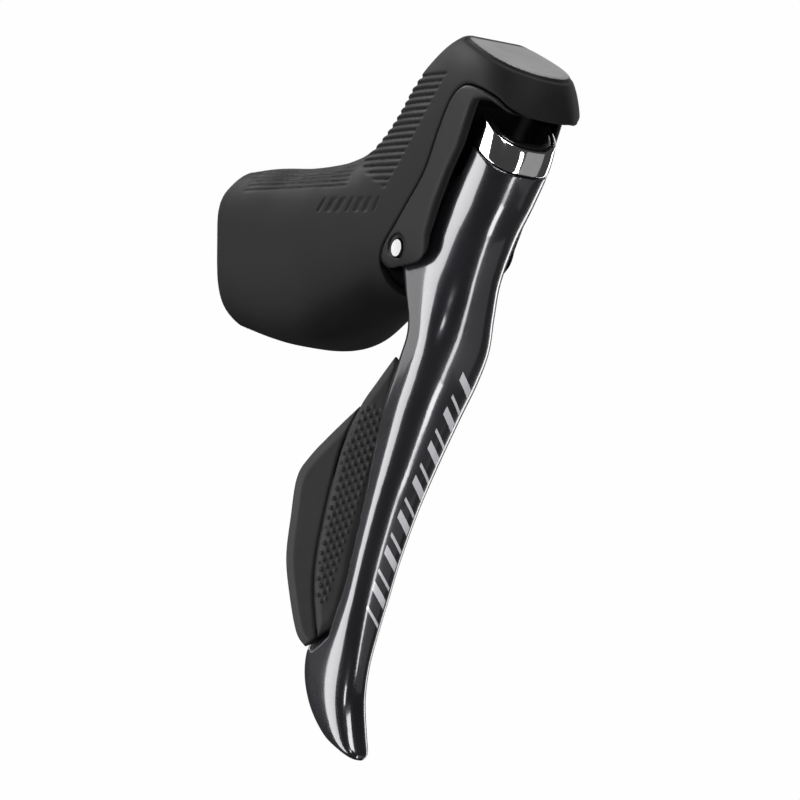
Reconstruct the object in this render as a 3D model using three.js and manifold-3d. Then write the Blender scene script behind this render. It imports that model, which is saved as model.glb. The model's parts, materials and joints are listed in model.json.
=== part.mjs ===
// Right-hand electronic-shift, hydraulic-brake lever for a drop handlebar.
// Millimetres. Origin: handlebar axis, at the middle of the clamp band.
// +X forward, +Y inboard (towards the stem), +Z up along the handlebar axis.
import * as THREE from 'three';
import { mergeVertices } from 'three/addons/utils/BufferGeometryUtils.js';
import Module from 'manifold-3d';

const wasm = await Module();
wasm.setup();

// ---------------------------------------------------------------- driving dimensions
const GAP = 0.3;                    // clearance between neighbouring pieces
const BAR_RADIUS = 12;              // road handlebar at the lever position
const PIVOT_X = 67;                 // pivot pin ahead of the handlebar axis, at Z = 0
const PIN_RADIUS = 2;               // main pivot pin
const EAR_OUTER = 13.4;             // half width over the bracket's two ears
const MOUTH_HALF = 11.5;            // half width of the gap between the ears
const RUBBER = 2;                   // hood wall thickness
const LEVER_TILT = THREE.MathUtils.degToRad(20);      // lever at rest, from vertical
const CYLINDER_TILT = THREE.MathUtils.degToRad(30);   // master cylinder, from vertical
const ARM_END = [-9, 6.5];          // push rod pin, X and Z from the pivot pin
const BORE_RADIUS = 4.9;            // master cylinder bore
const FACET_SLOPE = -0.39;          // top face of the pommel, falling forward
const CHAMFER_SLOPE = 0.7;          // rear chamfer of the pommel
const FACET_RIDGE = [78, 50.6];     // X and Z where the two faces meet
const NOSE_X = 105.4;               // front of the pommel
const BLADE_WALL = 1.5;             // wall of the hollow lever blade
const CHANNEL_END = -80;            // along the lever, below the pivot
const CAP_WALL = 1;                 // wall of the bright cap on the blade's top
const FAR = 200;                    // larger than the whole part
const FINEST = 0.004;               // shortest edge kept on a finished surface

// ---------------------------------------------------------------- materials
function paint(colour, roughness, metalness) {
  return new THREE.MeshStandardMaterial({ color: colour, roughness, metalness });
}

const rubber = paint(0x282828, 0.75, 0);
const casting = paint(0x1c1c1e, 0.5, 0.2);
const bladePaint = paint(0x4a4a50, 0.22, 0.7);
const chrome = paint(0xd8d8da, 0.08, 1);
const switchPlastic = paint(0x353538, 0.55, 0);
const steel = paint(0xb4b6ba, 0.3, 1);
const darkSteel = paint(0x3a3b3e, 0.4, 0.9);
const alloy = paint(0x9a9ca0, 0.35, 0.9);
const brass = paint(0xb08d4c, 0.35, 0.9);
const seal = paint(0x151515, 0.8, 0);
const boardGreen = paint(0x1f4a32, 0.5, 0);
const clearBladder = paint(0x5a5c60, 0.6, 0);

// ---------------------------------------------------------------- solids
function solid(geometry) {
  const bare = geometry.clone();
  bare.deleteAttribute('normal');
  bare.deleteAttribute('uv');
  const merged = mergeVertices(bare, 1e-4);
  const kept = [];
  const ids = merged.index.array;
  for (let i = 0; i < ids.length; i += 3) {
    const [a, b, c] = [ids[i], ids[i + 1], ids[i + 2]];
    if (a !== b && b !== c && c !== a) {
      kept.push(a, b, c);
    }
  }
  const mesh = new wasm.Mesh({
    numProp: 3,
    vertProperties: new Float32Array(merged.attributes.position.array),
    triVerts: new Uint32Array(kept),
  });
  return new wasm.Manifold(mesh);
}

// Edges shorter than FINEST are merged, so that no sliver is left on the surface.
function geometryOf(body) {
  const mesh = body.simplify(FINEST).getMesh();
  const geometry = new THREE.BufferGeometry();
  geometry.setAttribute('position', new THREE.BufferAttribute(new Float32Array(mesh.vertProperties), 3));
  geometry.setIndex(new THREE.BufferAttribute(new Uint32Array(mesh.triVerts), 1));
  return geometry;
}

function add(parent, name, body, material) {
  const mesh = new THREE.Mesh(geometryOf(body), material);
  mesh.name = name;
  parent.add(mesh);
}

function joined(...bodies) {
  return bodies.reduce((whole, body) => whole.add(body));
}

// Drops the splinters that a cut along a curved wall can leave.
function largest(body) {
  return body.decompose().reduce((best, piece) => (piece.volume() > best.volume() ? piece : best));
}

function cut(body, ...tools) {
  return tools.reduce((rest, tool) => rest.subtract(tool), body);
}

// A loft through rings that have equally many points; its volume's sign sets the winding.
function loft(rings) {
  const count = rings[0].length;
  const points = rings.flat();
  const faces = [];
  for (let k = 0; k + 1 < rings.length; k += 1) {
    for (let i = 0; i < count; i += 1) {
      const a = k * count + i;
      const b = k * count + ((i + 1) % count);
      faces.push([a, b, b + count], [a, b + count, a + count]);
    }
  }
  for (const k of [0, rings.length - 1]) {
    const centre = new THREE.Vector3();
    rings[k].forEach((point) => centre.addScaledVector(point, 1 / count));
    points.push(centre);
    for (let i = 0; i < count; i += 1) {
      const edge = [k * count + i, k * count + ((i + 1) % count)];
      if (k === 0) {
        edge.reverse();
      }
      faces.push([points.length - 1, ...edge]);
    }
  }
  const sixfold = faces.reduce((sum, [a, b, c]) => {
    return sum + points[a].dot(new THREE.Vector3().crossVectors(points[b], points[c]));
  }, 0);
  if (sixfold < 0) {
    faces.forEach((face) => face.reverse());
  }
  const geometry = new THREE.BufferGeometry().setFromPoints(points);
  geometry.setIndex(faces.flat());
  return solid(geometry);
}

// Turns a geometry built along Y so that it lies along X, Y or Z, and moves it.
function settle(geometry, axis, at) {
  if (axis === 'X') {
    geometry.rotateZ(-Math.PI / 2);
  }
  if (axis === 'Z') {
    geometry.rotateX(Math.PI / 2);
  }
  geometry.translate(...at);
  return solid(geometry);
}

function rod(radius, length, axis, at, sides = 20) {
  return settle(new THREE.CylinderGeometry(radius, radius, length, sides), axis, at);
}

function hexagon(radius, length, axis, at) {
  return rod(radius, length, axis, at, 6);
}

function ring(inner, outer, length, axis, at, sides = 20) {
  const half = length / 2;
  const profile = [[inner, -half], [outer, -half], [outer, half], [inner, half], [inner, -half]];
  const points = profile.map(([x, y]) => new THREE.Vector2(x, y));
  return settle(new THREE.LatheGeometry(points, sides), axis, at);
}

function doughnut(middle, thickness, axis, at, sides = 20) {
  const geometry = new THREE.TorusGeometry(middle, thickness / 2, 5, sides);
  geometry.rotateX(Math.PI / 2);
  return settle(geometry, axis, at);
}

function turned(profile, axis, at, sides = 20) {
  const points = profile.map(([x, y]) => new THREE.Vector2(x, y));
  return settle(new THREE.LatheGeometry(points, sides), axis, at);
}

function box([x0, x1], [y0, y1], [z0, z1]) {
  const geometry = new THREE.BoxGeometry(x1 - x0, y1 - y0, z1 - z0);
  geometry.translate((x0 + x1) / 2, (y0 + y1) / 2, (z0 + z1) / 2);
  return solid(geometry);
}

// An outline in the XZ plane carried from Y = low to Y = high.
function prism(outline, low, high) {
  const shape = new THREE.Shape(outline.map(([x, z]) => new THREE.Vector2(x, z)));
  const geometry = new THREE.ExtrudeGeometry(shape, { depth: high - low, bevelEnabled: false });
  geometry.rotateX(Math.PI / 2);
  geometry.translate(0, high, 0);
  return solid(geometry);
}

function curve(points, steps) {
  const line = new THREE.SplineCurve(points.map(([x, z]) => new THREE.Vector2(x, z)));
  return line.getPoints(steps).map((point) => [point.x, point.y]);
}

function arc([x, z], radius, from, to, steps) {
  const points = [];
  for (let i = 0; i <= steps; i += 1) {
    const angle = THREE.MathUtils.degToRad(from + ((to - from) * i) / steps);
    points.push([x + radius * Math.cos(angle), z + radius * Math.sin(angle)]);
  }
  return points;
}

// A bar with round ends between two points of the XZ plane.
function link([x0, z0], [x1, z1], radius, low, high) {
  const heading = THREE.MathUtils.radToDeg(Math.atan2(z1 - z0, x1 - x0));
  const outline = [
    ...arc([x1, z1], radius, heading - 90, heading + 90, 8),
    ...arc([x0, z0], radius, heading + 90, heading + 270, 8),
  ];
  return prism(outline, low, high);
}

// Moves every point of an open line sideways: to its left if the distance is positive.
function offset(line, distance) {
  return line.map((point, i) => {
    const before = line[Math.max(i - 1, 0)];
    const after = line[Math.min(i + 1, line.length - 1)];
    const length = Math.hypot(after[0] - before[0], after[1] - before[1]);
    const left = [(before[1] - after[1]) / length, (after[0] - before[0]) / length];
    return [point[0] + left[0] * distance, point[1] + left[1] * distance];
  });
}

// ---------------------------------------------------------------- outer form of hood and bracket
// Each station spans a section from a bottom to a top point of the XZ plane:
// [top X, top Z, bottom X, bottom Z, half width, height of the widest line, squareness]
const BODY_STATIONS = [
  [-12, 20.2, -10, -17, 18, 0.5, 3.6],
  [8, 20.8, 6, -19.4, 18.5, 0.5, 3.6],
  [20, 20.8, 18, -21.4, 17.9, 0.5, 3.2],
  [30, 21.6, 30, -20.6, 17, 0.5, 2.9],
  [37, 22.9, 42, -15.4, 15.6, 0.48, 2.7],
  [44, 25.6, 55, -10.8, 14.4, 0.45, 2.6],
  [50, 30.6, 67, -10, 13.7, 0.42, 2.8],
  [54.5, 36, 80, -8, 13.4, 0.4, 3],
  [59, 41.6, 88, 0, 13.4, 0.36, 3.2],
  [64, 47, 93, 11, 13.4, 0.32, 3.2],
  [71, 51.6, 96, 20, 13.4, 0.28, 3],
  [80, 51, 98, 25, 13.2, 0.24, 2.6],
  [90, 47, 100.4, 27, 12.4, 0.24, 2.4],
  [97.4, 43.6, 102.6, 28, 10, 0.24, 2.4],
  [102, 40, 104.2, 28.6, 6.8, 0.24, 2.4],
  [104.6, 36.4, 105.2, 29.4, 3.6, 0.3, 2.2],
  [105.4, 34, 105.6, 31, 1, 0.5, 2],
];

function stationAt(stations, t) {
  const place = t * (stations.length - 1);
  const k = Math.min(Math.floor(place), stations.length - 2);
  const f = place - k;
  const at = (i) => stations[Math.min(Math.max(i, 0), stations.length - 1)];
  return at(k).map((value, j) => {
    const before = at(k - 1)[j];
    const next = at(k + 1)[j];
    const after = at(k + 2)[j];
    const slope0 = (next - before) / 2;
    const slope1 = (after - value) / 2;
    const h = f * f * (3 - 2 * f);
    const g0 = f * (1 - f) * (1 - f);
    const g1 = f * f * (f - 1);
    return value * (1 - h) + next * h + slope0 * g0 + slope1 * g1;
  });
}

function power(value, exponent) {
  return Math.sign(value) * Math.abs(value) ** exponent;
}

function bodySection([topX, topZ, bottomX, bottomZ, half, waist, square], inset, sides) {
  const height = Math.hypot(topX - bottomX, topZ - bottomZ);
  const width = Math.max(half - inset, 0.2);
  const low = Math.min(inset / height, 0.45);
  const up = [(topX - bottomX), (topZ - bottomZ)];
  const points = [];
  for (let i = 0; i < sides; i += 1) {
    const angle = (2 * Math.PI * (i + 0.5)) / sides;
    const y = width * power(Math.cos(angle), 2 / square);
    const s = power(Math.sin(angle), 2 / square);
    const reach = s > 0 ? 1 - low - waist : waist - low;
    const v = waist + Math.max(reach, 0.02) * s;
    points.push(new THREE.Vector3(bottomX + up[0] * v, y, bottomZ + up[1] * v));
  }
  return points;
}

function bodyForm(inset, sides, steps) {
  const rings = [];
  for (let i = 0; i <= steps; i += 1) {
    rings.push(bodySection(stationAt(BODY_STATIONS, i / steps), inset, sides));
  }
  const [x, z] = FACET_RIDGE;
  const [back, front] = [x - 24, x + 52];
  const above = [
    [back, z + (back - x) * CHAMFER_SLOPE - inset],
    [x, z - inset],
    [front, z + (front - x) * FACET_SLOPE - inset],
    [front, FAR],
    [back, FAR],
  ];
  const ahead = NOSE_X - inset;
  const nose = [[ahead, -FAR], [FAR, -FAR], [FAR, FAR], [ahead, FAR]];
  return cut(loft(rings), prism(above, -FAR, FAR), prism(nose, -FAR, FAR));
}

// The line on the bracket where the rubber hood ends, from under the nose round to the bottom.
const PARTING_POINTS = [
  [112, 26.4], [104.6, 30.2], [101, 32.8], [98.4, 34.8], [93, 36.9], [87.1, 37.7], [82.6, 34.8], [79, 28],
  [75, 18], [69.7, 11.1], [65.4, 5.5], [61.8, 1.1], [60, -3.3], [61.3, -7], [66.4, -10.2], [74, -12],
];
const partingLine = curve(PARTING_POINTS, 32);

function behindParting(distance) {
  const line = offset(partingLine, distance);
  return prism([...line, [74, -60], [-60, -60], [-60, 80], [112, 80]], -FAR, FAR);
}

function aheadOfParting(distance) {
  const line = offset(partingLine, distance);
  return prism([...line, [74, -60], [FAR, -60], [FAR, 27]], -FAR, FAR);
}

// Side outline of the bracket's open front: ear bottoms, ear fronts and the rim under the pommel.
const EAR_OUTLINE = [
  ...curve([[60, -4], [64.1, -6.9], [70.6, -8.3], [74.4, -6.6], [78.4, -1.3], [78.8, 3]], 12),
  [81.5, 10.6], [85, 18], [88.3, 23.4], [91.6, 32.4],
  ...curve([[92.4, 33.8], [96, 33.7], [99, 32.2], [101.3, 30.6], [105.5, 28.2], [109, 27]], 8),
];

// Rear edge of the rubber, seen from the side.
const REAR_EDGE_POINTS = [
  [4, 30], [-0.6, 17.5], [-3.1, 13], [-3.5, 8.5], [-2, 1], [0.8, -12], [2.8, -17], [6, -26],
];
const rearEdge = curve(REAR_EDGE_POINTS, 14);

const pivot = [PIVOT_X, 0];

// Space between the ears for the lever, its hub and its arm.
const MOUTH_OUTLINE = [
  [60, -FAR], [60, -4.5],
  ...arc(pivot, 8.6, 205, 110, 8),
  [69.4, 9.2], [81, 30], [83.5, 34.2], [94.5, 34.2], [96.5, 33], [98, 31], [101, 27.5],
  [FAR, 27.5], [FAR, -FAR],
];
const mouth = prism(MOUTH_OUTLINE, -MOUTH_HALF, MOUTH_HALF);
const armSlot = prism([...arc(pivot, 14.6, 178, 92, 8), [PIVOT_X, 0], [PIVOT_X - 8, -3]], -5.4, 5.4);

// ---------------------------------------------------------------- master cylinder frame
// Along the cylinder axis from the push rod's pin, in the XZ plane.
const armPin = [PIVOT_X + ARM_END[0], 0, ARM_END[1]];

function onCylinder(parent) {
  const group = new THREE.Group();
  group.position.set(...armPin);
  group.rotation.y = CYLINDER_TILT;
  parent.add(group);
  return group;
}

// Carries a body from the cylinder's own frame into the part's frame.
function fromCylinder(body) {
  return body.rotate([0, THREE.MathUtils.radToDeg(CYLINDER_TILT), 0]).translate(armPin);
}

const LINER_OUTER = 6.1;
const LINER_START = 8.6;
const LINER_END = 33;

// ---------------------------------------------------------------- reservoir frame
// On the pommel's top face: X along the face towards the nose, Z out of it.
const FACET_TILT = Math.atan(-FACET_SLOPE);
const LID_CENTRE_X = 88;
const lidCentre = [
  LID_CENTRE_X,
  0,
  FACET_RIDGE[1] + (LID_CENTRE_X - FACET_RIDGE[0]) * FACET_SLOPE - (RUBBER + GAP) / Math.cos(FACET_TILT),
];
const LID_LENGTH = 20;
const LID_WIDTH = 10;
const LID_THICKNESS = 1.4;
const LID_SCREW_X = 8;
const LID_SCREW_Y = 3.2;
const BLEED_X = 4;

function fromFacet(body) {
  return body.rotate([0, THREE.MathUtils.radToDeg(FACET_TILT), 0]).translate(lidCentre);
}

function onFacet(parent) {
  const group = new THREE.Group();
  group.position.set(...lidCentre);
  group.rotation.y = FACET_TILT;
  parent.add(group);
  return group;
}

const lidScrewPlaces = [-1, 1].flatMap((x) => [-1, 1].map((y) => [x * LID_SCREW_X, y * LID_SCREW_Y]));

function slab(length, width, low, high) {
  return box([-length / 2, length / 2], [-width / 2, width / 2], [low, high]);
}

// ---------------------------------------------------------------- bracket
const CLAMP_HALF = 6;               // half width of the band along the bar
const BAND_OUTER = BAR_RADIUS + 1.3;
const BOLT_Y = -11.6;
const BOLT_HEAD_X = 27;
const NUT_X = 12;
const NUT_RADIUS = 2.6;
const HOSE_Y = 10.2;
const HOSE_Z = 10.5;
const CELL_RADIUS = 8;
const CELL_X = 32;
const CELL_Z = 1;
const CELL_FLOOR = 7.4;
const DOOR_LEDGE = 11;
const BUTTON_X = 80;
const BUTTON_Z = 40.5;
const BOARD_X = [43, 53];
const BOARD_Y = [-1.5, 7.6];
const BOARD_Z = -7;
const BRACKET_REAR = 3;

function bracketOutside() {
  const core = bodyForm(RUBBER + GAP, 18, 22);
  const exposed = bodyForm(0, 22, 26).intersect(aheadOfParting(GAP));
  const front = [...EAR_OUTLINE, [FAR, 27], [FAR, -FAR], [60, -FAR]];
  const back = [[-FAR, -FAR], [BRACKET_REAR, -FAR], [BRACKET_REAR, FAR], [-FAR, FAR]];
  return cut(joined(core, exposed), prism(front, -FAR, FAR), prism(back, -FAR, FAR));
}

function clampSpace() {
  return joined(
    rod(BAR_RADIUS + GAP, 2 * FAR, 'Z', [0, 0, 0], 48),
    rod(BAND_OUTER + 0.5, 2 * CLAMP_HALF + 1, 'Z', [0, 0, 0], 40),
    rod(2.1, 24, 'X', [BOLT_HEAD_X - 8, BOLT_Y, 0], 14),
    rod(3.3, 16, 'X', [BOLT_HEAD_X + 8 - GAP, BOLT_Y, 0], 16),
    box([0, NUT_X + 5], [-20, -8.2], [-CLAMP_HALF - 0.5, CLAMP_HALF + 0.5]),
    box([BOLT_HEAD_X - GAP, BOLT_HEAD_X + 16], [-20, BOLT_Y], [-3.3, 3.3]),
  );
}

function hoseSpace() {
  return joined(
    rod(2.9, 20, 'X', [8, HOSE_Y, HOSE_Z], 16),
    rod(1.2, 40, 'X', [36, HOSE_Y - 2, HOSE_Z], 10),
  );
}

function electronicsSpace() {
  return joined(
    rod(CELL_RADIUS + GAP, 12, 'Y', [CELL_X, CELL_FLOOR + 6, CELL_Z], 28),
    rod(CELL_RADIUS + 1.8, 8, 'Y', [CELL_X, DOOR_LEDGE + 4, CELL_Z], 28),
    box([BOARD_X[0] - 0.5, BOARD_X[1] + 0.5], [-2, 20], [BOARD_Z - 1, BOARD_Z + 4]),
    rod(3.2, 10, 'Y', [BUTTON_X, 10.6, BUTTON_Z], 18),
  );
}

function hydraulicSpace() {
  const bore = fromCylinder(joined(
    rod(LINER_OUTER + GAP, LINER_END - 2, 'Z', [0, 0, 3 + LINER_END / 2], 20),
    rod(1.1, 10, 'Z', [0, 0, LINER_END + 3], 8),
  ));
  const reservoir = fromFacet(joined(
    slab(LID_LENGTH + 2 * GAP, LID_WIDTH + 2 * GAP, -LID_THICKNESS - GAP, 6),
    slab(13, 5, -6, 1),
    ...lidScrewPlaces.map(([x, y]) => rod(0.95, 5, 'Z', [x, y, -3.6], 10)),
  ));
  return joined(bore, reservoir);
}

function bracketBody() {
  const pinBore = rod(PIN_RADIUS + GAP, 2 * FAR, 'Y', [PIVOT_X, 0, 0], 20);
  const pinRecess = rod(3.3, 1.2, 'Y', [PIVOT_X, -EAR_OUTER, 0], 20);
  return cut(
    bracketOutside(), mouth, armSlot, clampSpace(), hoseSpace(), electronicsSpace(), hydraulicSpace(),
    pinBore, pinRecess,
  );
}

function hoodCover() {
  const outer = bodyForm(0, 24, 32).intersect(behindParting(0));
  const inner = bodyForm(RUBBER, 18, 22);
  const behind = [[-FAR, -FAR], ...rearEdge.slice().reverse(), [-FAR, FAR]];
  const mouthWide = prism(MOUTH_OUTLINE, -MOUTH_HALF - GAP, MOUTH_HALF + GAP);
  return cut(
    outer, inner, prism(behind, -FAR, FAR), rod(BAR_RADIUS + 0.5, 2 * FAR, 'Z', [0, 0, 0], 48), mouthWide,
  );
}

// ---------------------------------------------------------------- handlebar clamp
function clampBand() {
  const hoop = ring(BAR_RADIUS + 0.15, BAND_OUTER, 2 * CLAMP_HALF, 'Z', [0, 0, 0], 44);
  const lug = box([3, NUT_X + 4.2], [BOLT_Y - 2.9, BOLT_Y + 3], [-CLAMP_HALF, CLAMP_HALF]);
  const insideHoop = rod(BAR_RADIUS + 0.7, 4 * CLAMP_HALF, 'Z', [0, 0, 0], 44);
  return cut(
    joined(hoop, cut(lug, insideHoop)),
    rod(NUT_RADIUS + GAP, 40, 'Z', [NUT_X, BOLT_Y, 0], 16),
    rod(2.1, 24, 'X', [NUT_X + 8, BOLT_Y, 0], 14),
  );
}

function clampNut() {
  const barrel = rod(NUT_RADIUS, 2 * CLAMP_HALF - 1, 'Z', [NUT_X, BOLT_Y, 0], 16);
  return cut(barrel, rod(1.9, 20, 'X', [NUT_X, BOLT_Y, 0], 14));
}

function socketScrew(shaft, length, head, headLength, key) {
  const profile = [
    [0, -length], [shaft, -length], [shaft, 0], [head, 0], [head, headLength - 0.2], [head - 0.2, headLength],
    [0, headLength],
  ];
  const screw = turned(profile, 'Y', [0, 0, 0], 12);
  return cut(screw, hexagon(key, headLength, 'Y', [0, headLength * 0.8, 0]));
}

function addScrew(parent, name, screw, axis, at, material = steel) {
  const mesh = new THREE.Mesh(geometryOf(screw), material);
  mesh.name = name;
  mesh.position.set(...at);
  if (axis === '+X') {
    mesh.rotation.z = -Math.PI / 2;
  }
  if (axis === '+Z') {
    mesh.rotation.x = Math.PI / 2;
  }
  if (axis === '-X') {
    mesh.rotation.z = Math.PI / 2;
  }
  if (axis === '-Y') {
    mesh.rotation.z = Math.PI;
  }
  parent.add(mesh);
}

// ---------------------------------------------------------------- hose port and electronics
function hoseNut() {
  const at = [9.2, HOSE_Y, HOSE_Z];
  return cut(hexagon(2.5, 3.5, 'X', at), rod(1.3, 9, 'X', at, 12));
}

function cellContact() {
  const reach = [CELL_X - 4, CELL_X + 4];
  return box(reach, [CELL_FLOOR + 0.1, CELL_FLOOR + 0.4], [CELL_Z - 1.5, CELL_Z + 1.5]);
}

function doorSeal() {
  return ring(CELL_RADIUS + 0.5, CELL_RADIUS + 1.4, 0.5, 'Y', [CELL_X, DOOR_LEDGE + 0.35, CELL_Z], 28);
}

function batteryDoor() {
  const disc = rod(CELL_RADIUS + 1.4, 1, 'Y', [CELL_X, DOOR_LEDGE + 1.2, CELL_Z], 28);
  const coinSlot = box([CELL_X - 5, CELL_X + 5], [DOOR_LEDGE + 1.2, 20], [CELL_Z - 0.8, CELL_Z + 0.8]);
  return cut(disc, coinSlot);
}

function radioChip() {
  return box([BOARD_X[0] + 2, BOARD_X[1] - 2], [1, 7], [BOARD_Z + 1.2, BOARD_Z + 2.6]);
}

function remoteSwitch() {
  return box([BUTTON_X - 1.6, BUTTON_X + 1.6], [5.7, 6.5], [BUTTON_Z - 1.6, BUTTON_Z + 1.6]);
}

// ---------------------------------------------------------------- lever, in its own tilted frame
// Stations along the lever: [Z, front X, rear X, half width]
const BLADE_STATIONS = [
  [40, 20.4, 6, 9.4],
  [30, 22.4, 5, 9.5],
  [20, 21.4, 1, 9.5],
  [10, 19.4, -4, 9.5],
  [0, 18.9, -6, 9.5],
  [-8, 20, 0, 9.5],
  [-16, 21.2, 7, 9.5],
  [-24, 20.8, 7.4, 9.3],
  [-34, 19.2, 6.4, 8.6],
  [-46, 17.8, 6.6, 7.4],
  [-58, 16.6, 7.8, 6.4],
  [-70, 16.6, 8.6, 5.7],
  [-80, 17.4, 9.4, 5.3],
  [-88, 18.4, 7, 5.2],
  [-96, 20, 2.4, 5.2],
  [-103, 22.6, 4, 5.2],
  [-109, 27, 10, 4.9],
  [-113, 30.6, 18, 4],
  [-114.6, 30.6, 24, 2],
];

// A section is round in front and squarer behind; an open one runs straight back instead.
function bladeSection([z, front, rear, half], inset, sides, open = false) {
  const middle = rear + (front - rear) * 0.42;
  const points = [];
  for (let i = 0; i < sides; i += 1) {
    const angle = (2 * Math.PI * (i + 0.5)) / sides;
    const c = Math.cos(angle);
    const behind = open ? [40, middle - rear + 9] : [5, middle - rear];
    const [square, reach] = c > 0 ? [2.6, front - inset - middle] : behind;
    const x = middle + reach * power(c, 2 / square);
    const y = (half - inset) * power(Math.sin(angle), 2 / square);
    points.push(new THREE.Vector3(x, y, z));
  }
  return points;
}

function bladeForm(inset, sides, steps) {
  const rings = [];
  for (let i = 0; i <= steps; i += 1) {
    rings.push(bladeSection(stationAt(BLADE_STATIONS, i / steps), inset, sides));
  }
  return loft(rings);
}

const CAP_BOTTOM = [[0, 33.4], [24, 26.4], [60, 26.4], [60, 60], [0, 60]];
const CAP_TOP = [[0, 42.4], [60, 17.6], [60, 90], [0, 90]];
const CAP_REAR = 11.6;
const BELOW_STUB = [[-FAR, -FAR], [FAR, -FAR], [FAR, 23], [-FAR, 23]];
const CAP_LEDGE = 24;               // the blade's wall is thicker above this, behind the cap

// The hollow of the blade, open behind; it ends in a slope above the solid toe.
function channelForm() {
  const stations = BLADE_STATIONS.filter(([z]) => z >= CHANNEL_END);
  const rings = stations.map((station) => {
    const wall = station[0] > CAP_LEDGE ? BLADE_WALL + CAP_WALL + GAP : BLADE_WALL;
    return bladeSection(station, wall, 18, true);
  });
  rings[0].forEach((point) => point.setZ(point.z + 10));
  const last = rings[rings.length - 1];
  rings.push(last.map((point) => new THREE.Vector3(point.x - 1.5, point.y * 0.6, point.z - 5)));
  return loft(rings);
}

function leverBlade() {
  const outer = bladeForm(0, 22, 26);
  const capSeat = prism(CAP_BOTTOM, -FAR, FAR);
  const stub = cut(bladeForm(CAP_WALL + GAP, 18, 18), prism(BELOW_STUB, -FAR, FAR));
  const body = joined(cut(outer, capSeat), stub);
  const backCut = [
    [-FAR, -9], ...arc([0, 0], 6.6, 235, 90, 8), [6, 14], [9.6, 20], [CAP_REAR, 28], [CAP_REAR, FAR],
    [-FAR, FAR],
  ];
  const lowCut = [[-FAR, -5.4], [-3.8, -5.4], [3, -9], [7.4, -13.5], [7.4, -18], [-FAR, -18]];
  return largest(cut(
    body,
    channelForm(),
    prism(CAP_TOP, -FAR, FAR),
    prism(backCut, -FAR, FAR),
    prism(lowCut, -FAR, FAR),
    rod(PIN_RADIUS + GAP, 60, 'Y', [0, 0, 0], 20),
    rod(1.2 + GAP, 4, 'X', [16.8, 0, CARRIER_SCREW_Z], 12),
    paddleSlot,
  ));
}

function bladeCap() {
  const slabCut = prism(CAP_BOTTOM.map(([x, z]) => [x, z + GAP]), -FAR, FAR);
  const outer = bladeForm(0, 26, 26).intersect(slabCut);
  return cut(
    outer,
    bladeForm(CAP_WALL, 22, 20),
    prism(CAP_TOP, -FAR, FAR),
    prism([[-FAR, 0], [CAP_REAR, 0], [CAP_REAR, 60], [-FAR, 60]], -FAR, FAR),
  );
}

const HUB_RADIUS = 5.4;
const CARRIER_HALF = 7.4;
const BUSH_OUTER = 3.2;
const CARRIER_SCREW_Z = 10;
const ROD_PIN_RADIUS = 1.2;
const REACH_Y = 4.8;
const REACH_Z = 14;
const armEndLocal = [
  ARM_END[0] * Math.cos(LEVER_TILT) - ARM_END[1] * Math.sin(LEVER_TILT),
  ARM_END[0] * Math.sin(LEVER_TILT) + ARM_END[1] * Math.cos(LEVER_TILT),
];

function leverCarrier() {
  const web = [
    ...arc([0, 0], HUB_RADIUS, 250, 100, 8), [3, 10], [3, 17], [9, 23], [16, 23], [17, 8], [18, -16],
    [14, -21], [9, -14],
  ];
  const behind = box([-10, 11], [-CARRIER_HALF, CARRIER_HALF], [-40, 40]);
  const insideBlade = joined(bladeForm(BLADE_WALL + 2 * GAP, 20, 24), behind);
  const arm = link([0, 0], armEndLocal, 3, -4.8, 4.8);
  const hollow = prism([[8, 20], [12, 22], [13.4, 0], [7.6, 0]], -20, 20);
  const rodSlot = link(armEndLocal, [armEndLocal[0], armEndLocal[1] + 8], 4.2, -2.1, 2.1);
  return cut(
    joined(prism(web, -CARRIER_HALF, CARRIER_HALF).intersect(insideBlade), arm),
    hollow,
    rodSlot,
    rod(BUSH_OUTER + GAP, 60, 'Y', [0, 0, 0], 20),
    rod(ROD_PIN_RADIUS + GAP, 60, 'Y', [armEndLocal[0], 0, armEndLocal[1]], 14),
    rod(1.2 + GAP, 12, 'X', [16, 0, CARRIER_SCREW_Z], 12),
    rod(1.5 + GAP, 16, 'X', [4, REACH_Y, REACH_Z], 12),
  );
}

// ---------------------------------------------------------------- shift paddles
// u runs rearward and outboard along the wing from the blade's rear edge, t inboard through it.
const HINGE_X = 11;
const HINGE_Y = -1.2;
const WING_ANGLE = THREE.MathUtils.degToRad(30);
const WING_ROOT = [7, -6.3];
const PLATE = 1.8;
const KNUCKLE_RADIUS = 2.3;
const PADDLE_PIN_RADIUS = 1;
const FRONT_KNUCKLE = [-36, -28];
const REAR_KNUCKLE = [-49, -41];

// Outlines as points [u, z].
const SEAM = [
  [2.6, -24.4], [5.2, -32], [7.2, -38.5], [8.4, -48], [8.2, -56], [7, -69], [5.6, -78], [3.4, -85],
  [0.4, -91],
];
const FRONT_ROOT = [[-4, -89], [-4.4, -82], [-3, -70], [-2, -58], [-1.2, -44], [-0.6, -34], [0.4, -26]];
const REAR_OUTLINE = [
  [7.8, -39], [12.4, -47.3], [16, -54.5], [17.6, -60.5], [16, -70], [14, -79], [10.5, -86.5], [5.6, -94.6],
  [2.2, -97],
];

function wing(outline, low, high) {
  const shape = new THREE.Shape(outline.map(([u, z]) => new THREE.Vector2(u, z)));
  const geometry = new THREE.ExtrudeGeometry(shape, { depth: high - low, bevelEnabled: false });
  geometry.translate(0, 0, low);
  const toLever = new THREE.Matrix4().makeBasis(
    new THREE.Vector3(-Math.cos(WING_ANGLE), -Math.sin(WING_ANGLE), 0),
    new THREE.Vector3(0, 0, 1),
    new THREE.Vector3(-Math.sin(WING_ANGLE), Math.cos(WING_ANGLE), 0),
  );
  geometry.applyMatrix4(toLever);
  geometry.translate(...WING_ROOT, 0);
  return solid(geometry);
}

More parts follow.
